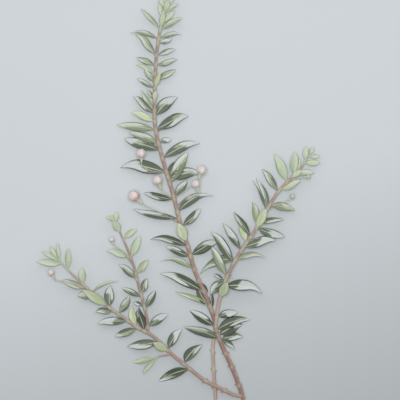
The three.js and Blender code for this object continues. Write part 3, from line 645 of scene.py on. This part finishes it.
def new_finish(name):
    """A material with an empty node tree, and the function that adds its nodes."""
    material = bpy.data.materials.new(name)
    material.use_nodes = True
    material.node_tree.nodes.clear()
    return material, partial(add, material.node_tree)


def close_finish(material, strength, depth, relief, surface):
    """Ends a material: its relief, so many millimetres deep, and its surface, by the inputs' names."""
    tree = material.node_tree
    bump = add(tree, "ShaderNodeBump", {"Strength": strength, "Distance": depth * MM, "Height": relief})
    coat = add(tree, "ShaderNodeBsdfPrincipled", {**surface, "Normal": bump})
    add(tree, "ShaderNodeOutputMaterial", coat)
    return material


def layered(node, colour, *layers):
    """A colour with others laid over it, each with how far it covers what lies beneath."""
    for cover, over in layers:
        colour = node("Mix.RGBA", cover, colour, over)
    return colour


def leaf_finish(name, look, young=False):
    """Living myrtle leaf, grown: leathery with a waxy skin. It gives dark green at the foot and midrib,
    a thin pale midrib, a darker margin, and broken pale patches of painted sheen where light would catch its
    skin."""
    material, node = new_finish(name)
    light, foot, rim = look.pale_light, look.pale_dark, look.pale_edge
    if young:
        light, foot, rim = look.young_light, look.young_dark, look.young_edge
    share, beside, side = node("Split", node("Attribute.blade").outputs["Vector"]).outputs
    draw, pale, white, age, patch, shine = (
        node(f"Attribute.{key}").outputs["Fac"] for key in ("draw", "pale", "white", "age", "patch", "shine")
    )
    far = node("ABSOLUTE", beside)
    # Brush-like strokes along the blade: about 8 mm long and 1.5 mm wide on a 24 mm leaf.
    shift = node("MULTIPLY", draw, 61.0)
    coarse_at = node("Join", ("MULTIPLY", share, 3.0), ("MULTIPLY", beside, 2.4), shift)
    fine_at = node("Join", ("MULTIPLY", share, 7.0), ("MULTIPLY", beside, 11.0), shift)
    strokes = node("Noise", {"Vector": coarse_at, "Scale": 1.0, "Detail": 2.0, "Roughness": 0.42})
    fine = node("Noise", {"Vector": fine_at, "Scale": 1.0, "Detail": 4.0, "Roughness": 0.6})
    stroke = node("SUBTRACT", strokes, 0.5)
    on_side = node("MULTIPLY", beside, patch)
    # The dark part: from the foot outwards, further along the half that is turned from the light.
    reach = node("MULTIPLY_ADD", on_side, -0.55, ("MULTIPLY_ADD", age, 0.7, 0.06))
    uneven = node("MULTIPLY_ADD", stroke, 1.3, reach)
    dark = node("Range.SMOOTHSTEP", ("SUBTRACT", uneven, share), -0.12, 0.16, 0.0, 1.0)
    # Towards the tips the dark green gives way to a softer, greyer one.
    fresh = node("Range", age, 1.0, 0.4, 0.0, 1.0)
    faint = node("MULTIPLY", fresh, 0.6)
    deep = node("Mix.RGBA", ("MULTIPLY", fresh, 0.9), look.leaf_dark, look.leaf_soft)
    body = layered(node, look.leaf_mid, (faint, look.pale_dark), (dark, deep))
    body = node("Vector.SCALE", body, ("Range", fine, 0.35, 0.7, 0.78, 1.15))
    # The painted sheen: pale highlight patches between midrib and margin, past the first third, stronger on
    # one side.
    ridge = node("POWER", ("SUBTRACT", far, 0.52), 2.0)
    narrowing = node("Range", share, 0.2, 0.8, -5.5, -1.2)
    ridge = node("MULTIPLY_ADD", ridge, narrowing, 1.0, use_clamp=True)
    rising = node("Range.SMOOTHSTEP", share, 0.1, 0.8, 0.15, 1.15)
    falling = node("Range.SMOOTHSTEP", share, 0.93, 1.0, 1.0, 0.3)
    level = node("MULTIPLY", ridge, ("MULTIPLY", rising, falling))
    level = node("MULTIPLY", level, ("Range", on_side, -0.3, 0.25, 0.2, 1.15))
    broken = node("MULTIPLY", ("MULTIPLY_ADD", strokes, 1.5, -0.1), level)
    amount = node("MULTIPLY_ADD", fresh, -0.15, ("Range", shine, 0.0, 1.0, 0.6, 0.18))
    patches = node("Range.SMOOTHSTEP", ("SUBTRACT", broken, amount), 0.0, 0.12, 0.0, 0.88)
    # The white tip, a painted highlight: past its own place along the blade, with an uneven edge.
    past = node("MULTIPLY_ADD", on_side, 0.16, ("SUBTRACT", share, white))
    past = node("MULTIPLY_ADD", stroke, 0.28, past)
    tip = node("Range.SMOOTHSTEP", past, -0.02, 0.07, 0.0, 0.92)
    painted_sheen = node("MULTIPLY", ("MAXIMUM", patches, tip), ("Range", fine, 0.3, 0.58, 0.65, 1.0))
    # Pale leaves keep the pattern, the painted highlights too, drawn faintly.
    darker, fainter_sheen = (("MULTIPLY", dark, 0.7), foot), (("MULTIPLY", painted_sheen, 0.35), look.leaf_sheen)
    pale_body = layered(node, light, darker, fainter_sheen)
    # Sunlit leaves get painted light, as if lit through from behind: yellow green, a little deeper along the
    # midrib and the foot.
    sunlit = node("Mix.RGBA", ("MULTIPLY", dark, 0.6), look.sunlit, look.sunlit_foot)
    sunlit = node("Vector.SCALE", sunlit, ("Range", fine, 0.35, 0.7, 0.92, 1.05))
    sun = node("Range", pale, 1.0, 2.0, 0.0, 1.0)
    # The margin is a darker line about 0.5 mm wide, and the midrib a pale one.
    margin = node("Range.SMOOTHSTEP", far, 0.7, 0.9, 0.0, 1.0)
    margin = node("MULTIPLY", margin, ("Range", pale, 0.0, 1.0, 0.92, 0.3))
    edge = layered(node, look.leaf_edge, (faint, look.leaf_soft), (pale, rim))
    rib_width = node("Range", share, 0.0, 0.9, 0.13, 0.06)
    rib = node("Range.SMOOTHSTEP", ("SUBTRACT", rib_width, far), 0.0, 0.035, 0.0, 0.85)
    under = node("Range", side, -0.2, -0.8, 0.0, 0.75)
    colour = layered(
        node, body, (painted_sheen, look.leaf_sheen), (pale, pale_body), (sun, sunlit), (margin, edge),
        (rib, look.midrib), (under, look.underside),
    )
    # Side veins leave the midrib at a slant, about 1.4 mm apart, and the midrib is sunk on top.
    slant = node("MULTIPLY_ADD", far, -6.0, ("MULTIPLY", share, 60.0))
    veins = node("MULTIPLY", ("SINE", slant), 0.18)
    relief = node("ADD", ("MULTIPLY", rib, -0.9), ("ADD", veins, fine))
    smoothest, roughest, coat = (0.6, 0.75, 0.03) if young else (0.5, 0.68, 0.08)
    return close_finish(material, 0.35, 0.12, relief, {
        "Base Color": colour, "Roughness": ("Range", fine, 0.3, 0.7, smoothest, roughest), "IOR": 1.42,
        "Coat Weight": coat, "Coat Roughness": 0.35,
    })


def bark_finish(look):
    """Young myrtle bark, grown: thin, matt and reddish, with fine long cracks. It gives pinkish brown
    wood that turns redder between the leaf pairs and pale green at them, a painted highlight along one flank,
    and a pale cut end."""
    material, node = new_finish("Young myrtle bark")
    ring = node("Attribute.ring").outputs["Vector"]
    along, green, tender, cut = (
        node(f"Attribute.{key}").outputs["Fac"] for key in ("along", "green", "tender", "cut")
    )
    # Blotches about 6 mm long, and cracks about 0.35 mm wide and 4 mm long.
    blotch_at = node("Vector.ADD", ring, ("Join", 0.0, 0.0, ("MULTIPLY", along, 0.17)))
    crack_at = ("Join", 0.0, 0.0, ("MULTIPLY", along, 0.5))
    crack_at = node("Vector.ADD", ("Vector.SCALE", ring, 4.5), crack_at)
    blotches = node("Noise", {"Vector": blotch_at, "Scale": 1.0, "Detail": 3.0})
    cracks = node("Noise", {"Vector": crack_at, "Scale": 1.0, "Detail": 4.0, "Roughness": 0.65})
    redness = node("Range.SMOOTHSTEP", blotches, 0.44, 0.66, 0.0, 0.65)
    redness = node("MULTIPLY", redness, ("Range", tender, 0.5, 1.2, 1.0, 0.35))
    line = node("Range.SMOOTHSTEP", cracks, 0.56, 0.68, 0.0, 0.5)
    # Painted highlight: the bark is paler along one flank of the stem, broken up by the blotches.
    flank = node("MULTIPLY_ADD", node("Split", ring).outputs["X"], 0.6, blotches)
    flank = node("Range.SMOOTHSTEP", flank, 0.75, 1.1, 0.0, 0.5)
    leafy = node("Range.SMOOTHSTEP", ("MULTIPLY_ADD", blotches, 0.5, green), 0.35, 0.95, 0.0, 1.0)
    sawn = node("GREATER_THAN", cut, 0.985)
    colour = layered(
        node, look.bark_old, (tender, look.bark_young), (redness, look.bark_red), (line, look.bark_dark),
        (flank, look.bark_highlight), (leafy, look.bark_green), (sawn, look.cut_wood),
    )
    relief = node("SUBTRACT", 1.0, cracks)
    return close_finish(material, 0.5, 0.1, relief, {"Base Color": colour, "Roughness": 0.72, "IOR": 1.45})


def calyx_finish(look):
    """Living green sepal, grown: soft and matt. It gives pale yellow green with fine ribs that run
    up the cup and slightly darker tips."""
    material, node = new_finish("Soft green sepal")
    share, azimuth, _ = node("Split", node("Attribute.blade").outputs["Vector"]).outputs
    # Ten ribs round the cup, on a mottling of about 1 mm.
    ribs = node("COSINE", ("MULTIPLY", azimuth, 10.0))
    place = node("ShaderNodeTexCoord").outputs["Object"]
    mottle = node("Noise", {"Vector": place, "Scale": 900.0, "Detail": 3.0})
    up = node("Range", share, 0.1, 1.0, 0.0, 1.0)
    colour = node("Mix.RGBA", up, look.calyx_light, look.calyx_dark)
    shade = node("Range", ("MULTIPLY_ADD", ribs, 0.12, mottle), 0.3, 0.75, 0.88, 1.08)
    relief = node("MULTIPLY_ADD", ribs, 0.5, mottle)
    return close_finish(material, 0.4, 0.15, relief, {
        "Base Color": ("Vector.SCALE", colour, shade), "Roughness": 0.6, "IOR": 1.42, "Sheen Weight": 0.15,
    })


def petal_finish(look):
    """Unopened petal, grown: thin, soft and velvety. It gives pale pink that fades towards the top,
    coral at the foot of the reddest buds, and faint veins that run up each petal."""
    material, node = new_finish("Velvety pink petal")
    share, beside, _ = node("Split", node("Attribute.blade").outputs["Vector"]).outputs
    blush, draw = (node(f"Attribute.{key}").outputs["Fac"] for key in ("blush", "draw"))
    # About nine veins to a petal, roughly 0.5 mm apart at its widest.
    shift = node("MULTIPLY", draw, 43.0)
    vein_at = node("Join", ("MULTIPLY", share, 1.6), ("MULTIPLY", beside, 4.5), shift)
    streaks = node("Noise", {"Vector": vein_at, "Scale": 1.0, "Detail": 3.0})
    height = node("MULTIPLY_ADD", ("SUBTRACT", streaks, 0.5), 0.5, share)
    fade = node("Range.SMOOTHSTEP", height, 0.1, 0.95, 0.0, 1.0)
    foot = node("MULTIPLY", ("Range.SMOOTHSTEP", height, 0.12, 0.46, 1.0, 0.0), blush)
    rim = node("Range.SMOOTHSTEP", ("ABSOLUTE", beside), 0.8, 1.0, 0.0, 0.3)
    # The smallest buds, with a blush below nought, are still green.
    unripe = node("Range", blush, 0.0, -1.0, 0.0, 1.0)
    colour = layered(
        node, look.petal_pink, (fade, look.petal_pale), (foot, look.petal_coral), (rim, look.petal_pink),
        (unripe, look.petal_green),
    )
    return close_finish(material, 0.3, 0.1, streaks, {
        "Base Color": colour, "Roughness": 0.62, "IOR": 1.4, "Sheen Weight": 0.25, "Sheen Roughness": 0.5,
    })


def card_finish(look):
    """Pale studio card, pressed: matt and faintly fibrous, with painted shade that deepens towards one
    corner. It gives an even, cool and quiet ground."""
    material, node = new_finish("Pale studio card")
    place = node("ShaderNodeTexCoord").outputs["Object"]
    # Fibres of about 0.6 mm, only just to be seen.
    fibres = node("Noise", {"Vector": place, "Scale": 1600.0, "Detail": 3.0})
    x, y, _ = node("Split", place).outputs
    # Painted shade: the card darkens towards low y and high x, as if the light fell off there.
    painted_falloff = node("Range", ("MULTIPLY_ADD", x, -0.3, y), -0.10, 0.10, 0.73, 1.0)
    shade = node("MULTIPLY", ("Range", fibres, 0.3, 0.7, 0.985, 1.01), painted_falloff)
    return close_finish(material, 0.08, 0.1, fibres, {
        "Base Color": ("Vector.SCALE", look.floor[:3], shade), "Roughness": 0.9, "IOR": 1.4,
    })


def colour_of(title, code, description):
    """A colour setting, given as an sRGB hex value."""
    opaque = (*linear(code), 1)
    return bpy.props.FloatVectorProperty(
        name=title, description=description, default=opaque, size=4, min=0, max=1, subtype="COLOR")


def length_of(title, millimetres, least, description):
    """A length setting, given in millimetres."""
    return bpy.props.FloatProperty(
        name=title, description=description, default=millimetres * MM, min=least * MM, unit="LENGTH")


def share_of(title, share, most, description):
    """A setting that is a share of something."""
    return bpy.props.FloatProperty(
        name=title, description=description, default=share, min=0, max=most, subtype="FACTOR")


def power_of(title, watts, description):
    """A lamp's power setting."""
    return bpy.props.FloatProperty(name=title, description=description, default=watts, min=0, unit="POWER")


class MyrtleLook(bpy.types.PropertyGroup):
    """The colours of the sprig and its floor."""

    leaf_dark: colour_of("Leaf Dark", "4c5545", "Foot and midrib side of a full-grown leaf")
    leaf_soft: colour_of("Leaf Soft", "7d887a", "Foot and margin of the leaves nearer the tips")
    leaf_mid: colour_of("Leaf Mid", "9aa28f", "Outer part of a full-grown leaf")
    # The pale colour of the painted sheen and the painted white tips on the leaves.
    leaf_sheen: colour_of("Leaf Wax", "ced5d6", "Wax that catches the light on a leaf")
    leaf_edge: colour_of("Leaf Edge", "475148", "Margin of a full-grown leaf")
    # Painted light: the colours of upturned leaves as if lit through from behind.
    sunlit: colour_of("Sunlit Leaf", "e0e9c8", "Upturned leaves with the light behind them")
    sunlit_foot: colour_of("Sunlit Leaf Foot", "cfdcb0", "Foot of an upturned leaf with the light behind it")
    pale_light: colour_of("Pale Leaf", "c2cca9", "Upturned leaves")
    pale_dark: colour_of("Pale Leaf Foot", "abb88f", "Foot of an upturned leaf")
    pale_edge: colour_of("Pale Leaf Edge", "88936c", "Margin of an upturned leaf")
    young_light: colour_of("Young Leaf", "bfccb0", "Young leaves at the tips")
    young_dark: colour_of("Young Leaf Foot", "a7b695", "Foot of a young leaf")
    young_edge: colour_of("Young Leaf Edge", "909c82", "Margin of a young leaf")
    midrib: colour_of("Midrib", "c0c7b0", "Midrib of a leaf")
    underside: colour_of("Leaf Underside", "9fa98e", "Underside of a leaf")
    bark_old: colour_of("Old Bark", "8f776e", "Bark near the cut end")
    bark_young: colour_of("Young Bark", "c2afa2", "Bark near the young tips")
    bark_red: colour_of("Bark Red", "a87565", "Redder bark between the leaf pairs")
    # A painted highlight along one flank of each stem.
    bark_highlight: colour_of("Pale Bark", "d2c8bf", "Bark that peels along one flank")
    bark_dark: colour_of("Bark Cracks", "705548", "Fine cracks in the bark")
    bark_green: colour_of("Bark Green", "b9bba3", "Bark at the leaf pairs and the young tips")
    cut_wood: colour_of("Cut Wood", "c9bba2", "Cut end of the stem")
    calyx_light: colour_of("Calyx", "cbd2bb", "Foot of the calyx")
    calyx_dark: colour_of("Sepals", "bcc5ac", "Tips of the sepals")
    petal_pink: colour_of("Petal", "e3d3d3", "Petals of a closed bud")
    petal_green: colour_of("Petal Green", "bcc5ba", "Petals of the smallest buds")
    petal_pale: colour_of("Petal Top", "d7d2d2", "Top of a closed bud")
    petal_coral: colour_of("Petal Foot", "d39c90", "Foot of the petals of a bud about to open")
    floor: colour_of("Floor", "cad0d4", "Pale card that the sprig lies on")


class MyrtleSizes(bpy.types.PropertyGroup):
    """The sizes of the sprig's parts, and the stage's lights and camera."""

    blade_thickness: length_of("Blade Thickness", 0.36, 0.05, "Thickness of a leaf at its middle")
    blade_fold: share_of("Blade Fold", 0.16, 0.6, "Rise of a leaf's halves, by its half width")
    edge_wave: share_of("Edge Wave", 0.05, 0.3, "Wave of a leaf's edge, by its half width")
    foot_radius: length_of("Foot Radius", 1.75, 0.5, "Radius of the main stem at its cut end")
    node_swelling: share_of("Node Swelling", 0.2, 1, "How much thicker a stem is where leaves leave it")
    stalk_radius: length_of("Bud Stalk Radius", 0.36, 0.1, "Radius of a flower bud's stalk")
    bud_radius: length_of("Bud Radius", 3.7, 1, "Radius of the largest flower bud")
    furrow_depth: length_of("Furrow Depth", 0.07, 0, "Depth of the furrows in the bark")
    camera_height: length_of("Camera Height", 1666.7, 300, "Height of the camera above the sprig")
    lamp_power: power_of("Lamp Power", 1.6, "Power of the large soft lamp at the side")
    overhead_power: power_of("Overhead Power", 19.0, "Power of the lamp above the sprig")
    sky_strength: bpy.props.FloatProperty(
        name="Room Light", description="Strength of the even light of the room", default=0.28, min=0)


def stem_rows(sizes, route, radii, greens, tenders, swellings=(), cuts=(0.0, 0.0)):
    """The points of one stem for the stem tree, one for each millimetre of it. A swelling is a leaf
    pair's place: the stem is thicker over 0.9 mm on each side of it, and greener over 2.2 mm."""
    line = Line(route)
    count = math.ceil(line.length)
    rows = []
    for i in range(count + 1):
        distance = line.length * (i / count)
        thicker, greener = (
            max((math.exp(-((distance - s) / width) ** 2) for s in swellings), default=0)
            for width in (0.9, 2.2)
        )
        rows.append(dict(
            root=line.along(distance)[0] * MM,
            radius=between(radii, distance) * MM * (1 + sizes.node_swelling * thicker), along=distance,
            green=between(greens, distance) + 0.36 * greener, tender=between(tenders, distance),
            cut=cuts[0] if i == 0 else cuts[1] if i == count else 0.0,
        ))
    return rows


def chained(lines):
    """One list of points out of several lines, and the edges that join each line's own points."""
    rows, edges = [], []
    for line in lines:
        edges += [(len(rows) + i, len(rows) + i + 1) for i in range(len(line) - 1)]
        rows += line
    return rows, edges


def bud_frames(sizes):
    """Each flower bud's place and sizes, in metres, and the line of its stalk, in millimetres."""
    buds = []
    for shoot, root, bend, end, points, size, blush in BUDS:
        route = next(s["route"] for s in SHOOTS if s["name"] == shoot)
        axis, end = Vector(points).normalized(), Vector(end)
        globe = sizes.bud_radius / MM * size
        seat, cup, foot = globe * 0.52, globe * 1.2, 0.55
        foot_at = end + axis * JOINT_GAP
        buds.append(dict(
            stalk=[Line(route).along(root)[0], Vector(bend), end - axis * 1.2, end + axis * 0.5],
            calyx_at=foot_at * MM, petals_at=(foot_at + axis * (cup + JOINT_GAP)) * MM, axis=axis,
            out=UP.cross(axis).normalized(), globe=globe * MM, seat=seat * MM, cup=cup * MM, foot=foot * MM,
            blush=blush, start=math.asin(seat / globe),
        ))
    return buds


class MYRTLE_OT_stems(bpy.types.Operator):
    """Grows the main stem, the shoots' stems and the twigs"""

    bl_idname = "myrtle.stems"
    bl_label = "Grow Stems"

    def execute(self, context):
        sizes = context.scene.myrtle_sizes
        finish = bark_finish(context.scene.myrtle_look)
        tree = stem_tree()
        foot = sizes.foot_radius / MM
        pairs = {shoot["name"]: [leaf[0] for leaf in shoot["left"] + shoot["right"]] for shoot in SHOOTS}
        # Each stem's solids, and along it, in millimetres: its radius, how green and how tender its
        # bark is, where it swells, and which of its ends are cut.
        stems = {
            "main_stem": (("woody_foot", "main_shoot", "main_shoot_tip"), dict(
                route=MAIN_ROUTE, swellings=[11, 26, 37, *pairs["main_shoot"]], cuts=(1.0, 0.0),
                radii=[
                    (0, foot), (44, foot * 0.95), (140, foot * 0.86), (286, foot * 0.62), (317, 0.6),
                    (319, 0.3),
                ],
                greens=[(0, 0.0), (286, 0.1), (319, 0.8)],
                tenders=[(0, 0.0), (60, 0.05), (150, 0.35), (270, 0.25), (319, 0.7)],
            )),
            "right_stem": (("right_shoot", "right_shoot_tip"), dict(
                route=RIGHT_ROUTE, swellings=pairs["right_shoot"],
                radii=[(0, 1.4), (117, 1.1), (153, 0.55), (154.7, 0.25)],
                greens=[(0, 0.05), (130, 0.1), (154.7, 0.3)],
                tenders=[(0, 1.0), (20, 0.9), (40, 0.35), (110, 0.6), (154.7, 0.6)],
            )),
            "left_stem": (("woody_foot", "left_shoot", "left_shoot_tip"), dict(
                route=LEFT_ROUTE, swellings=[14, 30, *pairs["left_shoot"]],
                radii=[(0, 1.4), (38, 1.35), (142, 1.0), (174, 0.5), (176, 0.25)],
                greens=[(0, 0.0), (150, 0.1), (176, 0.5)],
                tenders=[(0, 0.6), (15, 0.4), (80, 0.4), (176, 0.8)],
            )),
            "left_side_stem": (("left_side_shoot", "left_side_shoot_tip"), dict(
                route=LEFT_SIDE_ROUTE, swellings=pairs["left_side_shoot"],
                radii=[(0, 1.1), (55, 0.9), (90, 0.45), (91.5, 0.2)],
                greens=[(0, 0.05), (75, 0.1), (91.5, 0.5)], tenders=[(0, 0.2), (70, 0.4), (91.5, 0.6)],
            )),
            "low_twig_stem": (("low_twig",), dict(
                route=LOW_TWIG_ROUTE, swellings=[12], radii=[(0, 0.75), (13, 0.55), (14.2, 0.25)],
                greens=[(0, 0.1), (14, 0.4)], tenders=[(0, 0.5)],
            )),
            "bare_twig_stem": (("bare_twig",), dict(
                route=BARE_TWIG_ROUTE, swellings=[13, 27, 41], radii=[(0, 1.3), (50, 1.3)], cuts=(0.0, 1.0),
                greens=[(0, 0.15), (50, 0.05)], tenders=[(0, 0.8), (50, 0.6)],
            )),
        }
        for name, (nodes, course) in stems.items():
            rows, edges = chained([stem_rows(sizes, **course)])
            grow(name, rows, edges, tree, finish, "bark", nodes, **{"Furrow Depth": sizes.furrow_depth})
        return {"FINISHED"}


class MYRTLE_OT_leaf_scars(bpy.types.Operator):
    """Sets the scars of fallen leaves on the bare wood"""

    bl_idname = "myrtle.leaf_scars"
    bl_label = "Grow Leaf Scars"

    def execute(self, context):
        rows = []
        for route, radius, distances in SCARS:
            for i, distance in enumerate(distances):
                for side in (1, -1):
                    point, tangent, left, _ = Line(route).along(distance + side * 0.8)
                    rows.append(dict(
                        root=(point + left * side * radius * 0.85) * MM,
                        axis=(left * side + tangent * 0.8).normalized(),
                        size=mix(0.85, 1.15, scatter(i + side)), along=distance, green=0.15, tender=0.2,
                        cut=0.0, ring=left * side,
                    ))
        finish = bpy.data.materials["Young myrtle bark"]
        grow("leaf_scars", rows, (), knob_tree("Leaf scars", True), finish, "bark", ())
        return {"FINISHED"}


class MYRTLE_OT_leaves(bpy.types.Operator):
    """Grows the leaves of every shoot, the full-grown ones and the young ones apart"""

    bl_idname = "myrtle.leaves"
    bl_label = "Grow Leaves"

    def execute(self, context):
        sizes, look = context.scene.myrtle_sizes, context.scene.myrtle_look
        full_grown = ("", "leaf", leaf_finish("Waxy myrtle leaf", look))
        tender = ("_tip", "young_leaf", leaf_finish("Soft young myrtle leaf", look, young=True))
        tree = leaf_tree()
        kept = (
            "root", "ahead", "across", "face", "length", "width", "arch", "sickle", "hook", "age", "pale",
            "white", "draw", "patch", "shine",
        )
        for shoot in SHOOTS:
            leaves = held_leaves(shoot)
            for young, (suffix, slot, finish) in enumerate((full_grown, tender)):
                rows = [{key: leaf[key] for key in kept} for leaf in leaves if leaf["young"] == young]
                if not rows:
                    continue
                part = shoot["name"] + suffix
                grow(part + "_leaves", rows, (), tree, finish, slot, (part,), **{
                    "Blade Thickness": sizes.blade_thickness, "Fold": sizes.blade_fold,
                    "Edge Wave": sizes.edge_wave,
                })
        return {"FINISHED"}


class MYRTLE_OT_axil_buds(bpy.types.Operator):
    """Sets a small leaf bud in the axil of each full-grown leaf"""

    bl_idname = "myrtle.axil_buds"
    bl_label = "Grow Axil Buds"

    def execute(self, context):
        rows = []
        for shoot in SHOOTS:
            for leaf in held_leaves(shoot):
                point, left, top, tangent = leaf["stem"]
                if leaf["young"] or leaf["length"] < 12 * MM or shoot["name"] == "low_twig":
                    continue
                out = (left * leaf["side"] * 0.7 + tangent * 0.8 + top * 0.25).normalized()
                start = point + tangent * 1.2 + left * leaf["side"] * 0.85
                rows.append(dict(
                    root=start * MM, axis=out, size=mix(0.7, 1.15, leaf["draw"]), draw=leaf["draw"], pale=0.8,
                    age=0.3, white=2.0, patch=0.0, shine=0.0, blade=Vector((0.4, 0.5, 1.0)),
                ))
        finish = bpy.data.materials["Soft young myrtle leaf"]
        grow("axil_buds", rows, (), knob_tree("Axil buds", False), finish, "young_leaf", (), **{
            "Knob Width": 0.8 * MM, "Knob Length": 1.5 * MM,
        })
        return {"FINISHED"}


class MYRTLE_OT_flower_buds(bpy.types.Operator):
    """Grows the flower buds: their stalks, calyx cups and closed petals"""

    bl_idname = "myrtle.flower_buds"
    bl_label = "Grow Flower Buds"

    def execute(self, context):
        sizes, look = context.scene.myrtle_sizes, context.scene.myrtle_look
        radius = sizes.stalk_radius / MM
        lines, cups, petals = [], [], []
        for n, bud in enumerate(bud_frames(sizes)):
            length = Line(bud["stalk"]).length
            radii = [(0, radius * 1.3), (2, radius), (length - 1.5, radius), (length, radius * 1.2)]
            greens = [(0, 0.05), (length * 0.5, 0.4), (length, 0.9)]
            lines.append(stem_rows(sizes, bud["stalk"], radii, greens, [(0, 0.3), (length, 0.9)]))
            beside = bud["axis"].cross(bud["out"])
            cup = {key: bud[key] for key in ("axis", "globe", "out", "seat", "cup", "foot")}
            cups.append(dict(root=bud["calyx_at"], beside=beside, **cup))
            petal = {key: bud[key] for key in ("axis", "globe", "start", "blush")}
            for i in range(5):
                turn = Quaternion(bud["axis"], math.radians(72 * i + 20))
                petals.append(dict(
                    root=bud["petals_at"], out=turn @ bud["out"], beside=turn @ beside,
                    draw=scatter(600 + n * 3.1 + i), **petal,
                ))
        stems, bark = bpy.data.node_groups["Myrtle stems"], bpy.data.materials["Young myrtle bark"]
        rows, edges = chained(lines)
        grow("bud_stalks", rows, edges, stems, bark, "bark", (), **{"Sides": 10, "Furrow Depth": 0.02 * MM})
        calyxes, globes = ([f"bud_{n + 1}_{part}" for n in range(len(BUDS))] for part in ("calyx", "petals"))
        grow("bud_calyxes", cups, (), calyx_tree(), calyx_finish(look), "calyx", calyxes)
        grow("bud_petals", petals, (), petal_tree(), petal_finish(look), "petal", globes)
        return {"FINISHED"}


class MYRTLE_OT_stage(bpy.types.Operator):
    """Sets the pale floor, the soft lights and the camera that looks straight down"""

    bl_idname = "myrtle.stage"
    bl_label = "Set Stage"

    def execute(self, context):
        scene = context.scene
        sizes, look = scene.myrtle_sizes, scene.myrtle_look
        half, level = 6, -0.1 * MM
        corners = [(-half, -half, level), (half, -half, level), (half, half, level), (-half, half, level)]
        mesh = bpy.data.meshes.new("floor")
        mesh.from_pydata(corners, [], [(0, 1, 2, 3)])
        mesh.materials.append(card_finish(look))
        floor = bpy.data.objects.new("floor", mesh)
        scene.collection.objects.link(floor)

        world = bpy.data.worlds.new("Studio room")
        world.use_nodes = True
        world.node_tree.nodes.clear()
        room = add(world.node_tree, "ShaderNodeBackground", (0.965, 0.985, 1.0, 1), sizes.sky_strength)
        add(world.node_tree, "ShaderNodeOutputWorld", room)
        scene.world = world

        lamps = (
            ("side_lamp", (1.4, 0.5), sizes.lamp_power, (0.0, 0.45, 0.6)),
            ("overhead_lamp", (0.5, 0.5), sizes.overhead_power, (-0.03, 0.17, 1.8)),
        )
        for name, size, power, place in lamps:
            lamp = bpy.data.lights.new(name, "AREA")
            lamp.shape, lamp.size, lamp.size_y = "RECTANGLE", *size
            lamp.energy, lamp.color = power, (1.0, 0.99, 0.975)
            lamp_object = bpy.data.objects.new(name, lamp)
            lamp_object.location = place
            way = Vector((0, 0.1, 0)) - Vector(place)
            lamp_object.rotation_euler = way.to_track_quat("-Z", "Y").to_euler()
            scene.collection.objects.link(lamp_object)

        camera = bpy.data.cameras.new("camera")
        camera.lens, camera.sensor_width = 200, 36
        camera_object = bpy.data.objects.new("camera", camera)
        camera_object.location = (-0.012, 0.0975, sizes.camera_height + 6 * MM)
        scene.collection.objects.link(camera_object)
        scene.camera = camera_object
        scene.view_settings.view_transform = "Standard"
        return {"FINISHED"}


STEPS = (
    MYRTLE_OT_stems, MYRTLE_OT_leaf_scars, MYRTLE_OT_leaves, MYRTLE_OT_axil_buds, MYRTLE_OT_flower_buds,
    MYRTLE_OT_stage,
)


class MYRTLE_PT_sprig(bpy.types.Panel):
    """The sprig's steps and settings in the sidebar"""

    bl_label = "Myrtle Sprig"
    bl_space_type = "VIEW_3D"
    bl_region_type = "UI"
    bl_category = "Myrtle"

    def draw(self, context):
        for step in STEPS:
            self.layout.operator(step.bl_idname)
        for group in (context.scene.myrtle_sizes, context.scene.myrtle_look):
            box = self.layout.box()
            for name in group.__annotations__:
                box.prop(group, name)


CLASSES = (MyrtleLook, MyrtleSizes, *STEPS, MYRTLE_PT_sprig)


def register():
    for each in CLASSES:
        bpy.utils.register_class(each)
    bpy.types.Scene.myrtle_look = bpy.props.PointerProperty(type=MyrtleLook)
    bpy.types.Scene.myrtle_sizes = bpy.props.PointerProperty(type=MyrtleSizes)


def unregister():
    del bpy.types.Scene.myrtle_sizes
    del bpy.types.Scene.myrtle_look
    for each in reversed(CLASSES):
        bpy.utils.unregister_class(each)


def main():
    register()
    bpy.ops.myrtle.stems()
    bpy.ops.myrtle.leaf_scars()
    bpy.ops.myrtle.leaves()
    bpy.ops.myrtle.axil_buds()
    bpy.ops.myrtle.flower_buds()
    bpy.ops.myrtle.stage()


if __name__ == "__main__":
    main()
